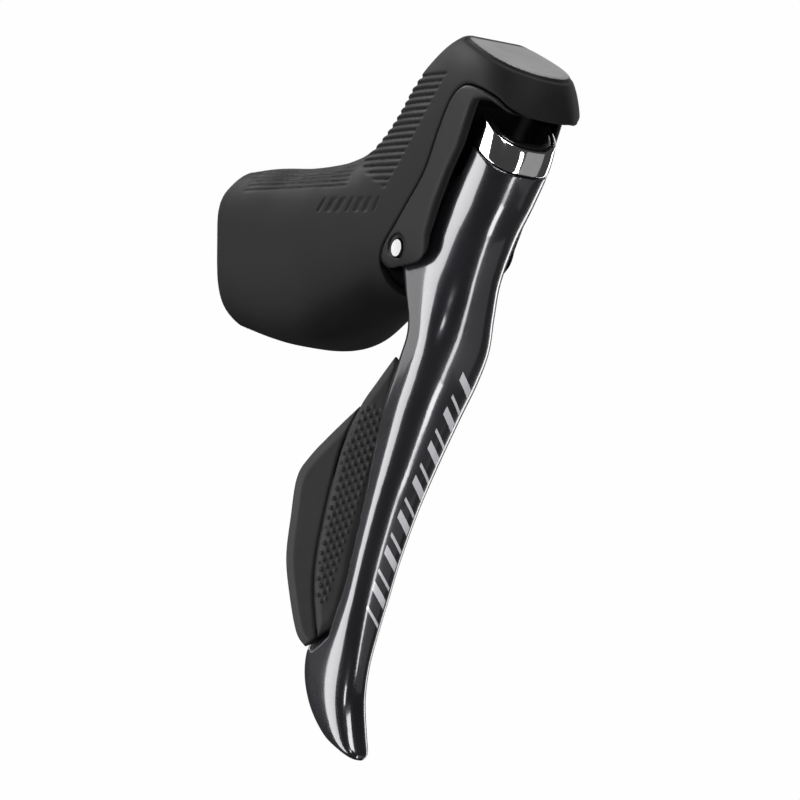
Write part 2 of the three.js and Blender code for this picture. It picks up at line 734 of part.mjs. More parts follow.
const SLOT_OUTLINE = [
  [-8, -23], [-8, -84], [-5.2, -86], [-5.2, -92.6], [-1, -94.4], [-1, -99], [30, -99], [30, -23],
];
const paddleSlot = wing(SLOT_OUTLINE, -0.7, 3.6);

function hingeRod(radius, [low, high], sides = 16) {
  return rod(radius, high - low, 'Z', [HINGE_X, HINGE_Y, (low + high) / 2], sides);
}

const paddlePinBore = hingeRod(PADDLE_PIN_RADIUS + 0.25, [-60, -20]);

function frontPaddle() {
  const [low, high] = FRONT_KNUCKLE;
  const plate = wing([...curve(SEAM, 16), ...curve(FRONT_ROOT, 10)], 0, PLATE);
  const web = wing([[-5, high], [1, high], [1, low], [-5, low]], 0.6, 3);
  const knuckle = hingeRod(KNUCKLE_RADIUS, FRONT_KNUCKLE);
  return cut(joined(plate, web, knuckle), paddlePinBore);
}

function rearPaddle() {
  const [low, high] = REAR_KNUCKLE;
  const seamSide = offset(curve(SEAM.slice(2), 12), GAP).reverse();
  const plate = wing([...curve(REAR_OUTLINE, 16), [1, -96], ...seamSide], 0.4, PLATE + 0.6);
  const spar = wing([[-5, high], [3, high - 2], [11.4, -51], [11.4, -61], [3, low - 4], [-5, low]], 3.1, 4.5);
  const root = wing([[9.2, -51], [11.4, -51], [11.4, -61], [9.2, -61]], 1, 4.5);
  const knuckle = hingeRod(KNUCKLE_RADIUS, REAR_KNUCKLE);
  return cut(joined(plate, spar, root, knuckle), paddlePinBore);
}

// ---------------------------------------------------------------- shift switch unit
const BASE_BOTTOM = -66;
const BASE_TOP = -25;
const SHELF_Y = 0.6;
const SHELF_OUTLINE = [[14.4, -50], [14.4, -66], [5, -69], [1.4, -66], [1.4, -46], [5, -44.6], [10, -50]];
const BOARD_OUTLINE = [[2, -47], [10, -54.4], [10, -66], [5, -68], [2, -65.5]];
const HINGE_LUGS = [[-27.6, BASE_TOP], [-40.6, -36.4], [-53.6, -49.4]];
const BOARD_SCREWS = [[4.6, -54.5], [7.2, -58.5]];
const boardScrewHoles = BOARD_SCREWS.map(([x, z]) => rod(0.75, 9, 'Y', [x, 0, z], 10));

function switchBase() {
  const inside = bladeForm(BLADE_WALL + GAP, 20, 24);
  const spine = box([13.7, 20], [-6, 6], [BASE_BOTTOM, BASE_TOP]).intersect(inside);
  const shelf = prism(SHELF_OUTLINE, SHELF_Y, SHELF_Y + 1.5);
  const lugs = HINGE_LUGS.map(([low, high]) => {
    return box([HINGE_X - 1.9, 14.4], [HINGE_Y - 1.9, HINGE_Y + 2.4], [low, high]);
  });
  return cut(
    joined(spine, shelf, ...lugs),
    hingeRod(PADDLE_PIN_RADIUS + 0.2, [-53, -20]),
    ...boardScrewHoles,
  );
}

function switchBoard() {
  const board = prism(BOARD_OUTLINE, SHELF_Y - 0.7, SHELF_Y - 0.2);
  return cut(board, ...boardScrewHoles);
}

function tactSwitch(x, z) {
  const face = SHELF_Y - 0.9;
  return joined(
    box([x - 1.4, x + 1.4], [face - 1.5, face], [z - 1.4, z + 1.4]),
    rod(0.7, 0.8, 'Y', [x, face - 1.5, z], 12),
  );
}

// ---------------------------------------------------------------- master cylinder pieces
const PISTON_FOOT = 9.4;
const PISTON_TOP = 23;
const SEAL_STATIONS = [14.8, 20];
const BALL_S = 10.2;

function cylinderLiner() {
  const profile = [
    [BORE_RADIUS, LINER_START], [LINER_OUTER, LINER_START], [LINER_OUTER, LINER_END], [0.8, LINER_END],
    [0.8, LINER_END - 1.4], [BORE_RADIUS, LINER_END - 1.4], [BORE_RADIUS, LINER_START],
  ];
  return turned(profile, 'Z', [0, 0, 0], 22);
}

function piston() {
  const radius = BORE_RADIUS - 0.3;
  const grooves = SEAL_STATIONS.flatMap((s) => {
    return [[radius, s - 0.8], [3.2, s - 0.8], [3.2, s + 0.8], [radius, s + 0.8]];
  });
  const profile = [
    [2.9, PISTON_FOOT], [radius, PISTON_FOOT], ...grooves, [radius, PISTON_TOP], [0, PISTON_TOP],
    [0, 12.6], [2.9, 12.6], [2.9, PISTON_FOOT],
  ];
  return turned(profile, 'Z', [0, 0, 0], 18);
}

class Helix extends THREE.Curve {
  constructor(radius, low, high, turns) {
    super();
    Object.assign(this, { radius, low, high, turns });
  }

  getPoint(t) {
    const angle = 2 * Math.PI * this.turns * t;
    const z = this.low + (this.high - this.low) * t;
    return new THREE.Vector3(this.radius * Math.cos(angle), this.radius * Math.sin(angle), z);
  }
}

function coil(radius, wire, low, high, turns) {
  const section = new THREE.Shape();
  section.absarc(0, 0, wire, 0, 2 * Math.PI, false);
  const path = new Helix(radius, low, high, turns);
  return solid(new THREE.ExtrudeGeometry(section, {
    steps: turns * 9, bevelEnabled: false, extrudePath: path, curveSegments: 3,
  }));
}

function pushRod() {
  const eye = rod(2.5, 3.6, 'Y', [0, 0, 0], 16);
  const shank = rod(1.4, BALL_S - 1, 'Z', [0, 0, (BALL_S + 1) / 2], 12);
  const ball = solid(new THREE.SphereGeometry(1.9, 14, 10).translate(0, 0, BALL_S));
  return cut(joined(eye, shank, ball), rod(ROD_PIN_RADIUS + GAP, 10, 'Y', [0, 0, 0], 14));
}

// ---------------------------------------------------------------- reservoir pieces
function reservoirLid() {
  return cut(
    slab(LID_LENGTH, LID_WIDTH, -LID_THICKNESS, 0),
    ...lidScrewPlaces.map(([x, y]) => rod(0.95, 6, 'Z', [x, y, 0], 12)),
    ...lidScrewPlaces.map(([x, y]) => rod(1.6, 2, 'Z', [x, y, 0], 12)),
    rod(1.9, 6, 'Z', [BLEED_X, 0, 0], 14),
    rod(2.7, 1.6, 'Z', [BLEED_X, 0, 0], 14),
  );
}

function bladder() {
  return cut(slab(12.4, 4.4, -3.8, -1.8), slab(11, 3, -3.1, 0));
}

// ---------------------------------------------------------------- assembly
const group = new THREE.Group();

add(group, 'bracket_body', bracketBody(), casting);
add(group, 'hood_cover', hoodCover(), rubber);
add(group, 'clamp_band', clampBand(), steel);
add(group, 'clamp_nut', clampNut(), steel);
addScrew(group, 'clamp_bolt', socketScrew(1.6, 18, 2.9, 3, 1.5), '+X', [BOLT_HEAD_X, BOLT_Y, 0]);
add(group, 'pivot_pin', rod(PIN_RADIUS, 2 * EAR_OUTER - 0.6, 'Y', [PIVOT_X, 0, 0], 24), steel);
add(group, 'pivot_clip', ring(PIN_RADIUS + 0.2, 3.6, 0.6, 'Y', [PIVOT_X, 10.2, 0], 16), darkSteel);
add(group, 'hose_nut', hoseNut(), alloy);
add(group, 'hose_olive', ring(1.4, 2.4, 3, 'X', [13, HOSE_Y, HOSE_Z], 14), brass);
add(group, 'coin_cell', rod(CELL_RADIUS, 3, 'Y', [CELL_X, CELL_FLOOR + 2.1, CELL_Z], 28), steel);
add(group, 'cell_contact', cellContact(), brass);
add(group, 'door_seal', doorSeal(), seal);
add(group, 'battery_door', batteryDoor(), casting);
add(group, 'control_board', box(BOARD_X, BOARD_Y, [BOARD_Z, BOARD_Z + 1]), boardGreen);
add(group, 'radio_chip', radioChip(), darkSteel);
add(group, 'remote_switch', remoteSwitch(), darkSteel);
add(group, 'remote_button', rod(2.8, 2, 'Y', [BUTTON_X, 8.2, BUTTON_Z], 18), switchPlastic);

const cylinder = onCylinder(group);
add(cylinder, 'cylinder_liner', cylinderLiner(), alloy);
add(cylinder, 'piston', piston(), alloy);
SEAL_STATIONS.forEach((s, i) => {
  add(cylinder, `piston_seal_${i + 1}`, doughnut(4.1, 1.1, 'Z', [0, 0, s], 20), seal);
});
add(cylinder, 'piston_spring', coil(3.2, 0.4, PISTON_TOP + 0.6, LINER_END - 2, 5), steel);
add(cylinder, 'stop_ring', ring(3.6, 4.6, 0.5, 'Z', [0, 0, LINER_START + 0.25], 16), darkSteel);
add(cylinder, 'push_rod', pushRod(), steel);

const top = onFacet(group);
add(top, 'reservoir_lid', reservoirLid(), alloy);
add(top, 'reservoir_bladder', bladder(), clearBladder);
lidScrewPlaces.forEach(([x, y], i) => {
  addScrew(top, `lid_screw_${i + 1}`, socketScrew(0.7, 3.6, 1.3, 0.8, 0.6), '+Z', [x, y, -0.95]);
});
addScrew(top, 'bleed_screw', socketScrew(1.6, 1.0, 2.3, 0.65, 1), '+Z', [BLEED_X, 0, -0.75]);

const lever = new THREE.Group();
lever.position.set(PIVOT_X, 0, 0);
lever.rotation.y = LEVER_TILT;
group.add(lever);
add(lever, 'lever_blade', leverBlade(), bladePaint);
add(lever, 'blade_cap', bladeCap(), chrome);
addScrew(lever, 'carrier_screw', socketScrew(1.2, 5.2, 2, 1, 0.9), '-X', [12.4, 0, CARRIER_SCREW_Z]);
add(lever, 'lever_carrier', leverCarrier(), alloy);
[-1, 1].forEach((side) => {
  const name = side < 0 ? 'pivot_bush_outboard' : 'pivot_bush_inboard';
  add(lever, name, ring(PIN_RADIUS + 0.2, BUSH_OUTER, 6.2, 'Y', [0, side * 4.2, 0], 20), brass);
});
add(lever, 'rod_pin', rod(ROD_PIN_RADIUS, 9, 'Y', [armEndLocal[0], 0, armEndLocal[1]], 16), steel);
addScrew(lever, 'reach_screw', socketScrew(1.5, 6.4, 1.5, 0.6, 0.8), '+X', [7.2, REACH_Y, REACH_Z]);
add(lever, 'switch_base', switchBase(), switchPlastic);
add(lever, 'paddle_pin', hingeRod(PADDLE_PIN_RADIUS, [-52.6, -25.4], 14), steel);
add(lever, 'switch_board', switchBoard(), boardGreen);
add(lever, 'front_switch', tactSwitch(8, -63), darkSteel);
add(lever, 'rear_switch', tactSwitch(3.4, -48.8), darkSteel);
BOARD_SCREWS.forEach(([x, z], i) => {
  addScrew(lever, `board_screw_${i + 1}`, socketScrew(0.6, 1.8, 1.1, 0.6, 0.5), '-Y', [x, SHELF_Y - 0.9, z]);
});
add(lever, 'front_paddle', frontPaddle(), switchPlastic);
add(lever, 'rear_paddle', rearPaddle(), switchPlastic);

export default group;
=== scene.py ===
import json
import math

import bmesh
import bpy
import numpy as np
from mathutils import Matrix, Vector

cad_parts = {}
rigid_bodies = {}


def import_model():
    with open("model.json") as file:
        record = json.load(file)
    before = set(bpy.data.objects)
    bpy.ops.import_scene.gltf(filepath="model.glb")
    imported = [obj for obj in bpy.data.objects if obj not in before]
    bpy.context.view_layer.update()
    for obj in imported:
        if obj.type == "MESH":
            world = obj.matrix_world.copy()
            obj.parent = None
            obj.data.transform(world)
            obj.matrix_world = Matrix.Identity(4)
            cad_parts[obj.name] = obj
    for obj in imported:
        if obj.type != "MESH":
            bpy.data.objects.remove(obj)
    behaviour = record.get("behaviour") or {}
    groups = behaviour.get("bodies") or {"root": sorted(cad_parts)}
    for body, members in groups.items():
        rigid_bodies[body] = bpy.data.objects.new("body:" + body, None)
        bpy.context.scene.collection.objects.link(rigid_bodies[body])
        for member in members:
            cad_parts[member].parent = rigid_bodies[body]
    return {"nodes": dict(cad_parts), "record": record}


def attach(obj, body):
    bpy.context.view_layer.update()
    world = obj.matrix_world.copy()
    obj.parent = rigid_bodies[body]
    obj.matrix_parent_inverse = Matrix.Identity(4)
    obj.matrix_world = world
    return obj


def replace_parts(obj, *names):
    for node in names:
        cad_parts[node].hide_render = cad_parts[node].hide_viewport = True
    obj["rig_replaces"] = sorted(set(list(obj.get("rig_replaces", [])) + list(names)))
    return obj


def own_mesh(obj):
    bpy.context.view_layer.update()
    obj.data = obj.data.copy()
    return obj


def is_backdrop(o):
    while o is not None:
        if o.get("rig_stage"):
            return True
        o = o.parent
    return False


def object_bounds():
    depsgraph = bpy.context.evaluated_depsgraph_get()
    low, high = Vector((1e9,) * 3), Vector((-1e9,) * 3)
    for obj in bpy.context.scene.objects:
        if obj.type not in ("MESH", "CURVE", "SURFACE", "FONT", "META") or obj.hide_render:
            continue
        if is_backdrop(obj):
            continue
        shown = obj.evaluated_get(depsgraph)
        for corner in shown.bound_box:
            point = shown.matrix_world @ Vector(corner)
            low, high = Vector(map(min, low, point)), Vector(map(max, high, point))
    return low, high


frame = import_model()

import openvdb as vdb
from mathutils import Matrix, Vector

for stray in [o for o in bpy.context.scene.objects if o.name in ("Cube", "Light", "Camera")]:
    bpy.data.objects.remove(stray)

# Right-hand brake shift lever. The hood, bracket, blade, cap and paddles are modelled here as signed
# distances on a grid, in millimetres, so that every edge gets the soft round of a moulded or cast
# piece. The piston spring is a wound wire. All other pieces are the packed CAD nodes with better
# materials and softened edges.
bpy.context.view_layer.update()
MM = 0.001
nodes = frame["nodes"]

# ---------------------------------------------------------------- dimensions shared with the CAD
GAP = 0.3
BAR_RADIUS = 12
PIVOT_X = 67
PIN_RADIUS = 2
EAR_OUTER = 13.4
MOUTH_HALF = 11.5
LEVER_TILT = math.radians(20)
CYLINDER_TILT = math.radians(30)
ARM_END = (-9, 6.5)
FACET_SLOPE = -0.39
CHAMFER_SLOPE = 0.7
FACET_RIDGE = (78, 50.6)
NOSE_X = 105.4
BLADE_WALL = 1.5
CHANNEL_END = -80
CAP_WALL = 1
CAP_REAR = 11.6
FAR = 200
TINY = 1e-9
HOOD_WALL = 1.7

# Sections of the outer form of hood and bracket, from the rear to the nose. Each row is the crest's x and
# z, the belly's x and z, the half width, the widest place as a share of the height, and the squareness.
BODY_STATIONS = [
    [-12, 20.2, -10, -17, 18, 0.5, 3.6],
    [8, 20.8, 6, -19.4, 18.5, 0.5, 3.6],
    [20, 20.8, 18, -21.4, 17.9, 0.5, 3.2],
    [30, 21.6, 30, -20.6, 17, 0.5, 2.9],
    [37, 22.9, 42, -15.4, 15.6, 0.48, 2.7],
    [44, 25.6, 55, -10.8, 14.4, 0.45, 2.6],
    [50, 30.6, 67, -10, 13.7, 0.42, 2.8],
    [54.5, 36, 80, -8, 13.4, 0.4, 3],
    [59, 41.6, 88, 0, 13.4, 0.36, 3.2],
    [64, 47, 93, 11, 13.4, 0.32, 3.2],
    [71, 51.6, 96, 20, 13.4, 0.28, 2.9],
    [80, 52.2, 98, 25, 13.2, 0.24, 2.7],
    [90, 50, 100.4, 27, 12.4, 0.24, 2.6],
    [97.4, 46.6, 102.6, 28, 10.4, 0.24, 2.5],
    [102, 42.2, 104.2, 28.6, 7.4, 0.24, 2.4],
    [104.6, 37.6, 105.2, 29.4, 4, 0.3, 2.2],
    [105.4, 34.4, 105.6, 31, 1.2, 0.5, 2],
]
# The line where the hood ends and the bare bracket begins, as x and z.
PARTING_POINTS = [
    (112, 26.4), (104.6, 30.2), (101, 32.8), (98.4, 34.8), (93, 36.9), (87.1, 37.7), (82.6, 34.8),
    (79, 28), (75, 18), (69.7, 11.1), (65.4, 5.5), (61.8, 1.1), (60, -3.3), (61.3, -7), (66.4, -10.2),
    (74, -12),
]
# The hood's open rear edge, as x and z.
REAR_EDGE_POINTS = [
    (4, 30), (-0.6, 17.5), (-3.1, 13), (-3.5, 8.5), (-2, 1), (0.8, -12), (2.8, -17), (6, -26),
]
# Sections of the blade in the lever's tilted frame, from its top down. Each row is z, the front's x, the
# back's x and the half width.
BLADE_STATIONS = [
    [40, 20.4, 6, 9.4],
    [30, 22.4, 5, 9.5],
    [20, 21.4, 1, 9.5],
    [10, 19.4, -4, 9.5],
    [0, 18.9, -6, 9.5],
    [-8, 20, 0, 9.5],
    [-16, 21.2, 7, 9.5],
    [-24, 20.8, 7.4, 9.3],
    [-34, 19.2, 6.4, 8.6],
    [-46, 17.8, 6.6, 7.4],
    [-58, 16.6, 7.8, 6.4],
    [-70, 16.6, 8.6, 5.7],
    [-80, 17.4, 9.4, 5.3],
    [-88, 18.4, 7, 5.2],
    [-96, 20, 2.4, 5.2],
    [-103, 22.6, 4, 5.2],
    [-109, 27, 10, 4.9],
    [-113, 30.6, 18, 4],
    [-114.6, 30.6, 24, 2],
]
BLADE_WAIST = 0.42
FRONT_SQUARENESS = 2.6
BACK_SQUARENESS = 5.0
# The space above the cap's lower edge, and the space above its upper edge, as outlines of x and z.
CAP_BOTTOM = [(0, 33.4), (24, 26.4), (60, 26.4), (60, 60), (0, 60)]
CAP_TOP = [(0, 42.4), (60, 17.6), (60, 90), (0, 90)]


# ---------------------------------------------------------------- curves and lofts
def station_at(stations, t):
    """The stations' values at each t from 0 to 1, on a smooth line through all of them."""
    table = np.array(stations, float)
    last = len(table) - 1
    place = np.asarray(t) * last
    k = np.minimum(place.astype(int), last - 1)
    f = (place - k)[:, None]
    before, value = table[np.maximum(k - 1, 0)], table[k]
    following, after = table[k + 1], table[np.minimum(k + 2, last)]
    h = f * f * (3 - 2 * f)
    rise, fall = (following - before) / 2, (after - value) / 2
    return value * (1 - h) + following * h + rise * f * (1 - f) ** 2 + fall * f * f * (f - 1)


def curve(points, steps):
    """A Catmull-Rom line through the points."""
    p = np.array(points, float)
    out = []
    for s in range(steps + 1):
        place = s / steps * (len(p) - 1)
        k = min(int(place), len(p) - 2)
        f = place - k
        a, b = p[max(k - 1, 0)], p[k]
        c, d = p[k + 1], p[min(k + 2, len(p) - 1)]
        bend = (2 * a - 5 * b + 4 * c - d) * f**2 + (3 * b - a - 3 * c + d) * f**3
        out.append(0.5 * (2 * b + (c - a) * f + bend))
    return [tuple(q) for q in out]


def arc(centre, radius, start, end, steps):
    angles = np.radians(np.linspace(start, end, steps + 1))
    return [(centre[0] + radius * math.cos(a), centre[1] + radius * math.sin(a)) for a in angles]


def offset(line, distance):
    """The open line moved to its left."""
    p = np.array(line, float)
    along = np.gradient(p, axis=0)
    along /= np.linalg.norm(along, axis=1)[:, None]
    left = np.stack([-along[:, 1], along[:, 0]], axis=1)
    return [tuple(q) for q in p + left * distance]


def power(value, exponent):
    return np.sign(value) * np.abs(value) ** exponent


def body_rings(steps, sides):
    """Sections of the outer form of hood and bracket together."""
    table = station_at(BODY_STATIONS, np.linspace(0, 1, steps))
    top_x, top_z, low_x, low_z, half, waist, square = table.T
    angle = 2 * np.pi * (np.arange(sides) + 0.5) / sides
    e = (2 / square)[:, None]
    y = half[:, None] * power(np.cos(angle)[None, :], e)
    s = power(np.sin(angle)[None, :], e)
    reach = np.where(s > 0, 1 - waist[:, None], waist[:, None])
    v = waist[:, None] + reach * s
    x = low_x[:, None] + (top_x - low_x)[:, None] * v
    z = low_z[:, None] + (top_z - low_z)[:, None] * v
    return np.stack([x, y, z], axis=2)


def blade_rings(steps, sides):
    """Sections of the lever blade's outer form, in the lever's tilted frame."""
    z, front, rear, half = station_at(BLADE_STATIONS, np.linspace(0, 1, steps)).T
    middle = rear + (front - rear) * BLADE_WAIST
    angle = 2 * np.pi * (np.arange(sides) + 0.5) / sides
    c = np.cos(angle)[None, :]
    square = np.where(c > 0, FRONT_SQUARENESS, BACK_SQUARENESS)
    reach = np.where(c > 0, (front - middle)[:, None], (middle - rear)[:, None])
    x = middle[:, None] + reach * power(c, 2 / square)
    y = half[:, None] * power(np.sin(angle)[None, :], 2 / square)
    return np.stack([x, y, np.broadcast_to(z[:, None], x.shape)], axis=2)


# ---------------------------------------------------------------- solids as signed distances
def meet(a, b, r=0.0):
    """What both solids share; the edge between them is rounded over about r."""
    sharp = np.maximum(a, b)
    if r:
        sharp = sharp + np.maximum(r - np.abs(a - b), 0) ** 2 / (4 * r)
    return sharp


def join(a, b, r=0.0):
    return -meet(-a, -b, r)


def less(a, b, r=0.0):
    return meet(a, -b, r)


def ramp(value, low, high):
    """0 below low, 1 above high, and smooth between."""
    t = np.clip((value - low) / (high - low), 0, 1)
    return t * t * (3 - 2 * t)


def plan(outline, u, v):
    """Signed distance from each point (u, v) to the outline of a flat shape."""
    p = np.array(outline, np.float32)
    inside = np.zeros(np.broadcast(u, v).shape, bool)
    nearest = np.full(inside.shape, FAR**2, np.float32)
    for a, b in zip(p, np.roll(p, -1, axis=0)):
        edge = b - a
        f = np.clip(((u - a[0]) * edge[0] + (v - a[1]) * edge[1]) / max(float(edge @ edge), TINY), 0, 1)
        nearest = np.minimum(nearest, (u - a[0] - f * edge[0]) ** 2 + (v - a[1] - f * edge[1]) ** 2)
        at = a[0] + (v - a[1]) * edge[0] / (edge[1] if edge[1] else TINY)
        inside ^= ((a[1] > v) != (b[1] > v)) & (u < at)
    return np.sqrt(nearest) * np.where(inside, np.float32(-1), np.float32(1))


class Grid:
    """A box of sample points, in millimetres."""

    def __init__(self, low, high, step):
        self.low = np.array(low, np.float32)
        self.step = step
        self.counts = np.ceil((np.array(high) - np.array(low)) / step).astype(int) + 1
        steps = [np.arange(n, dtype=np.float32) * np.float32(step) for n in self.counts]
        x, y, z = [line + np.float32(start) for line, start in zip(steps, low)]
        self.x, self.y, self.z = x[:, None, None], y[None, :, None], z[None, None, :]

    def loft(self, rings, reach):
        """A loft through rings of equally many points; the distance holds up to reach from it."""
        steps, sides, _ = rings.shape
        points = rings.reshape(-1, 3)
        a = np.arange(steps - 1)[:, None] * sides + np.arange(sides)[None, :]
        b = np.arange(steps - 1)[:, None] * sides + (np.arange(sides)[None, :] + 1) % sides
        quads = np.stack([a, b, b + sides, a + sides], axis=2).reshape(-1, 4)
        ends = np.stack([rings[0].mean(0), rings[-1].mean(0)])
        first = np.arange(sides)
        last = first + (steps - 1) * sides
        n = len(points)
        fans = np.concatenate([
            np.stack([np.full(sides, n), np.roll(first, -1), first], axis=1),
            np.stack([np.full(sides, n + 1), last, np.roll(last, -1)], axis=1),
        ])
        where = ((np.concatenate([points, ends]) - self.low) / self.step).astype(np.float32)
        band = reach / self.step
        fans, quads = fans.astype(np.uint32), quads.astype(np.uint32)
        unit = vdb.createLinearTransform(1.0)
        level = vdb.FloatGrid.createLevelSetFromPolygons(where, fans, quads, unit, band, band)
        field = np.empty(tuple(self.counts), np.float32)
        level.copyToArray(field)
        return field * np.float32(self.step)

    def prism(self, outline):
        """The outline in the XZ plane, carried along Y without end."""
        return plan(outline, self.x, self.z)

    def block(self, xs, ys, zs):
        spans = zip((self.x, self.y, self.z), (xs, ys, zs))
        sides = [np.abs(c - sum(s) / 2) - (s[1] - s[0]) / 2 for c, s in spans]
        return np.maximum(np.maximum(sides[0], sides[1]), sides[2])

    def tube(self, radius, axis, at, span=(-FAR, FAR)):
        c = [self.x - at[0], self.y - at[1], self.z - at[2]]
        k = "xyz".index(axis)
        a, b = [c[i] for i in range(3) if i != k]
        along = (self.x, self.y, self.z)[k]
        ends = np.maximum(span[0] - along, along - span[1])
        return np.maximum(np.sqrt(a * a + b * b) - radius, ends)

    def mesh(self, name, field, place=None, share=1.0, smooth=2):
        """A piece on the field's zero surface; place turns its points into the row frame, in mm."""
        volume = vdb.FloatGrid(1.0)
        volume.copyFromArray(np.array(np.broadcast_to(field, tuple(self.counts)), np.float32, order="C"))
        points, _, quads = volume.convertToPolygons(0.0, 0.0)
        points = points * self.step + self.low
        data = bpy.data.meshes.new(name)
        faces = np.asarray(quads)
        data.vertices.add(len(points))
        data.vertices.foreach_set("co", points.astype(np.float32).ravel())
        data.loops.add(faces.size)
        data.loops.foreach_set("vertex_index", faces.ravel().astype(np.int32))
        data.polygons.add(len(faces))
        data.polygons.foreach_set("loop_start", np.arange(0, faces.size, 4, dtype=np.int32))
        data.update(calc_edges=True)
        data.validate()
        piece = bpy.data.objects.new(name, data)
        bpy.context.scene.collection.objects.link(piece)
        if smooth:
            soften = piece.modifiers.new("soften", "SMOOTH")
            soften.factor = 0.5
            soften.iterations = smooth
        if share < 1:
            thin = piece.modifiers.new("thin", "DECIMATE")
            thin.ratio = share
        bake_modifiers(piece)
        co = np.empty(len(piece.data.vertices) * 3, np.float32)
        piece.data.vertices.foreach_get("co", co)
        co = co.reshape(-1, 3)
        if place is not None:
            co = place(co)
        piece.data.vertices.foreach_set("co", (co * MM).astype(np.float32).ravel())
        piece.data.update()
        piece.data.shade_smooth()
        return piece


def bake_modifiers(piece):
    """Puts the result of the piece's modifiers into its mesh."""
    bpy.context.view_layer.update()
    made = piece.evaluated_get(bpy.context.evaluated_depsgraph_get())
    data = bpy.data.meshes.new_from_object(made)
    old = piece.data
    piece.modifiers.clear()
    piece.data = data
    bpy.data.meshes.remove(old)
    data.name = piece.name


def from_lever(p):
    """From the lever's tilted frame into the row frame."""
    c, s = math.cos(LEVER_TILT), math.sin(LEVER_TILT)
    return np.stack([PIVOT_X + p[:, 0] * c + p[:, 2] * s, p[:, 1], -p[:, 0] * s + p[:, 2] * c], axis=1)


COARSE = 1
BODY_STEP = 0.3 * COARSE
CAP_STEP = 0.14 * COARSE
PADDLE_STEP = 0.22 * COARSE

# ---------------------------------------------------------------- hood and bracket
parting = curve(PARTING_POINTS, 90)
rear_edge = curve(REAR_EDGE_POINTS, 40)
ear_outline = [
    *curve([(60, -4), (64.1, -6.9), (70.6, -8.3), (74.4, -6.6), (78.4, -1.3), (78.8, 3)], 24),
    (81.5, 10.6), (85, 18), (88.3, 23.4), (91.6, 32.4),
    *curve([(92.4, 33.8), (96, 33.7), (99, 32.2), (101.3, 30.6), (105.5, 28.2), (109, 27)], 16),
]
mouth_outline = [
    (60, -FAR), (60, -4.5), *arc((PIVOT_X, 0), 8.6, 205, 110, 16), (69.4, 9.2), (81, 30), (83.5, 34.2),
    (94.5, 34.2), (96.5, 33), (98, 31), (101, 27.5), (FAR, 27.5), (FAR, -FAR),
]

g = Grid((-5, -19.5, -23), (107, 19.5, 53), BODY_STEP)
body = g.loft(body_rings(steps=260, sides=200), reach=4.5)
ridge_x, ridge_z = FACET_RIDGE
top_plane = (g.z - ridge_z - (g.x - ridge_x) * FACET_SLOPE) / math.hypot(1, FACET_SLOPE)
rear_plane = (g.z - ridge_z - (g.x - ridge_x) * CHAMFER_SLOPE) / math.hypot(1, CHAMFER_SLOPE)
# The chamfer behind the ridge ends before the neck.
rear_plane = rear_plane - 30 * ramp(ridge_x - g.x, 16, 32)
roof = meet(top_plane, rear_plane, 1.0)
outer = meet(meet(body, roof, 0.9), g.x - NOSE_X, 1.2)

behind = g.prism([*parting, (74, -60), (-60, -60), (-60, 80), (112, 80)])
beyond_rear = g.prism([(-FAR, -FAR), *rear_edge[::-1], (-FAR, FAR)])
mouth_plan = g.prism(mouth_outline)
bar = np.sqrt(g.x**2 + g.y**2)

# Grip ribs. On the neck they lie level and end on a slanted line; on the shoulder they run along it.
NECK_PITCH = 1.62
NECK_FOOT = 14.5
NECK_SPAN = (13.4, 41.4)
NECK_RIB = 0.5
SHOULDER_PITCH = 1.17
SHOULDER_FOOT = 13.9
SHOULDER_SPAN = (5.4, 45)
SHOULDER_RIB = 0.34
neck_level = g.z - NECK_FOOT
neck_end = 60.1 + 0.72 * neck_level - g.x
neck_start = g.x - 45 - np.maximum(20.2 - g.z, 0) * 2.2
neck_mask = ramp(neck_end, -0.4, 0.8) * ramp(neck_start, -0.5, 2.5)
neck_low, neck_high = NECK_SPAN
neck_mask = neck_mask * ramp(g.z, neck_low, neck_low + 0.8) * ramp(-g.z, -neck_high, 0.8 - neck_high)
neck_wave = (0.5 + 0.5 * np.cos(2 * np.pi * neck_level / NECK_PITCH)) ** 2
shoulder_level = g.z - SHOULDER_FOOT - 0.03 * (g.x - 7)
shoulder_rear, shoulder_front = SHOULDER_SPAN
shoulder_mask = ramp(g.x, shoulder_rear, 7) * ramp(-g.x, -shoulder_front, -42.6)
shoulder_mask = shoulder_mask * ramp(shoulder_level, -0.5, -0.2) * ramp(-shoulder_level, -5.4, -5)
shoulder_wave = (0.5 + 0.5 * np.cos(2 * np.pi * shoulder_level / SHOULDER_PITCH)) ** 2
ribs = NECK_RIB * neck_mask * neck_wave + SHOULDER_RIB * shoulder_mask * shoulder_wave

# A row of plain slanted bars pressed into the outboard side.
MARK_COUNT = 7
MARK_START = 37
MARK_STEP = 3.4
MARK_LEVEL = 10.3
MARK_HEIGHT = 3.2
MARK_SLANT = 0.45
MARK_DEPTH = 0.28
WIDE_BAR, THIN_BAR = 0.85, 0.45
mark = np.float32(9) * np.ones(1, np.float32)
for i in range(MARK_COUNT):
    middle = MARK_START + i * MARK_STEP + (g.z - MARK_LEVEL) * MARK_SLANT
    bar_half = WIDE_BAR if i % 3 else THIN_BAR
    stroke = np.maximum(np.abs(g.x - middle) - bar_half, np.abs(g.z - MARK_LEVEL) - MARK_HEIGHT / 2)
    mark = np.minimum(mark, stroke)
pressed = MARK_DEPTH * ramp(-mark, -0.15, 0.15) * ramp(-g.y, 10, 11)

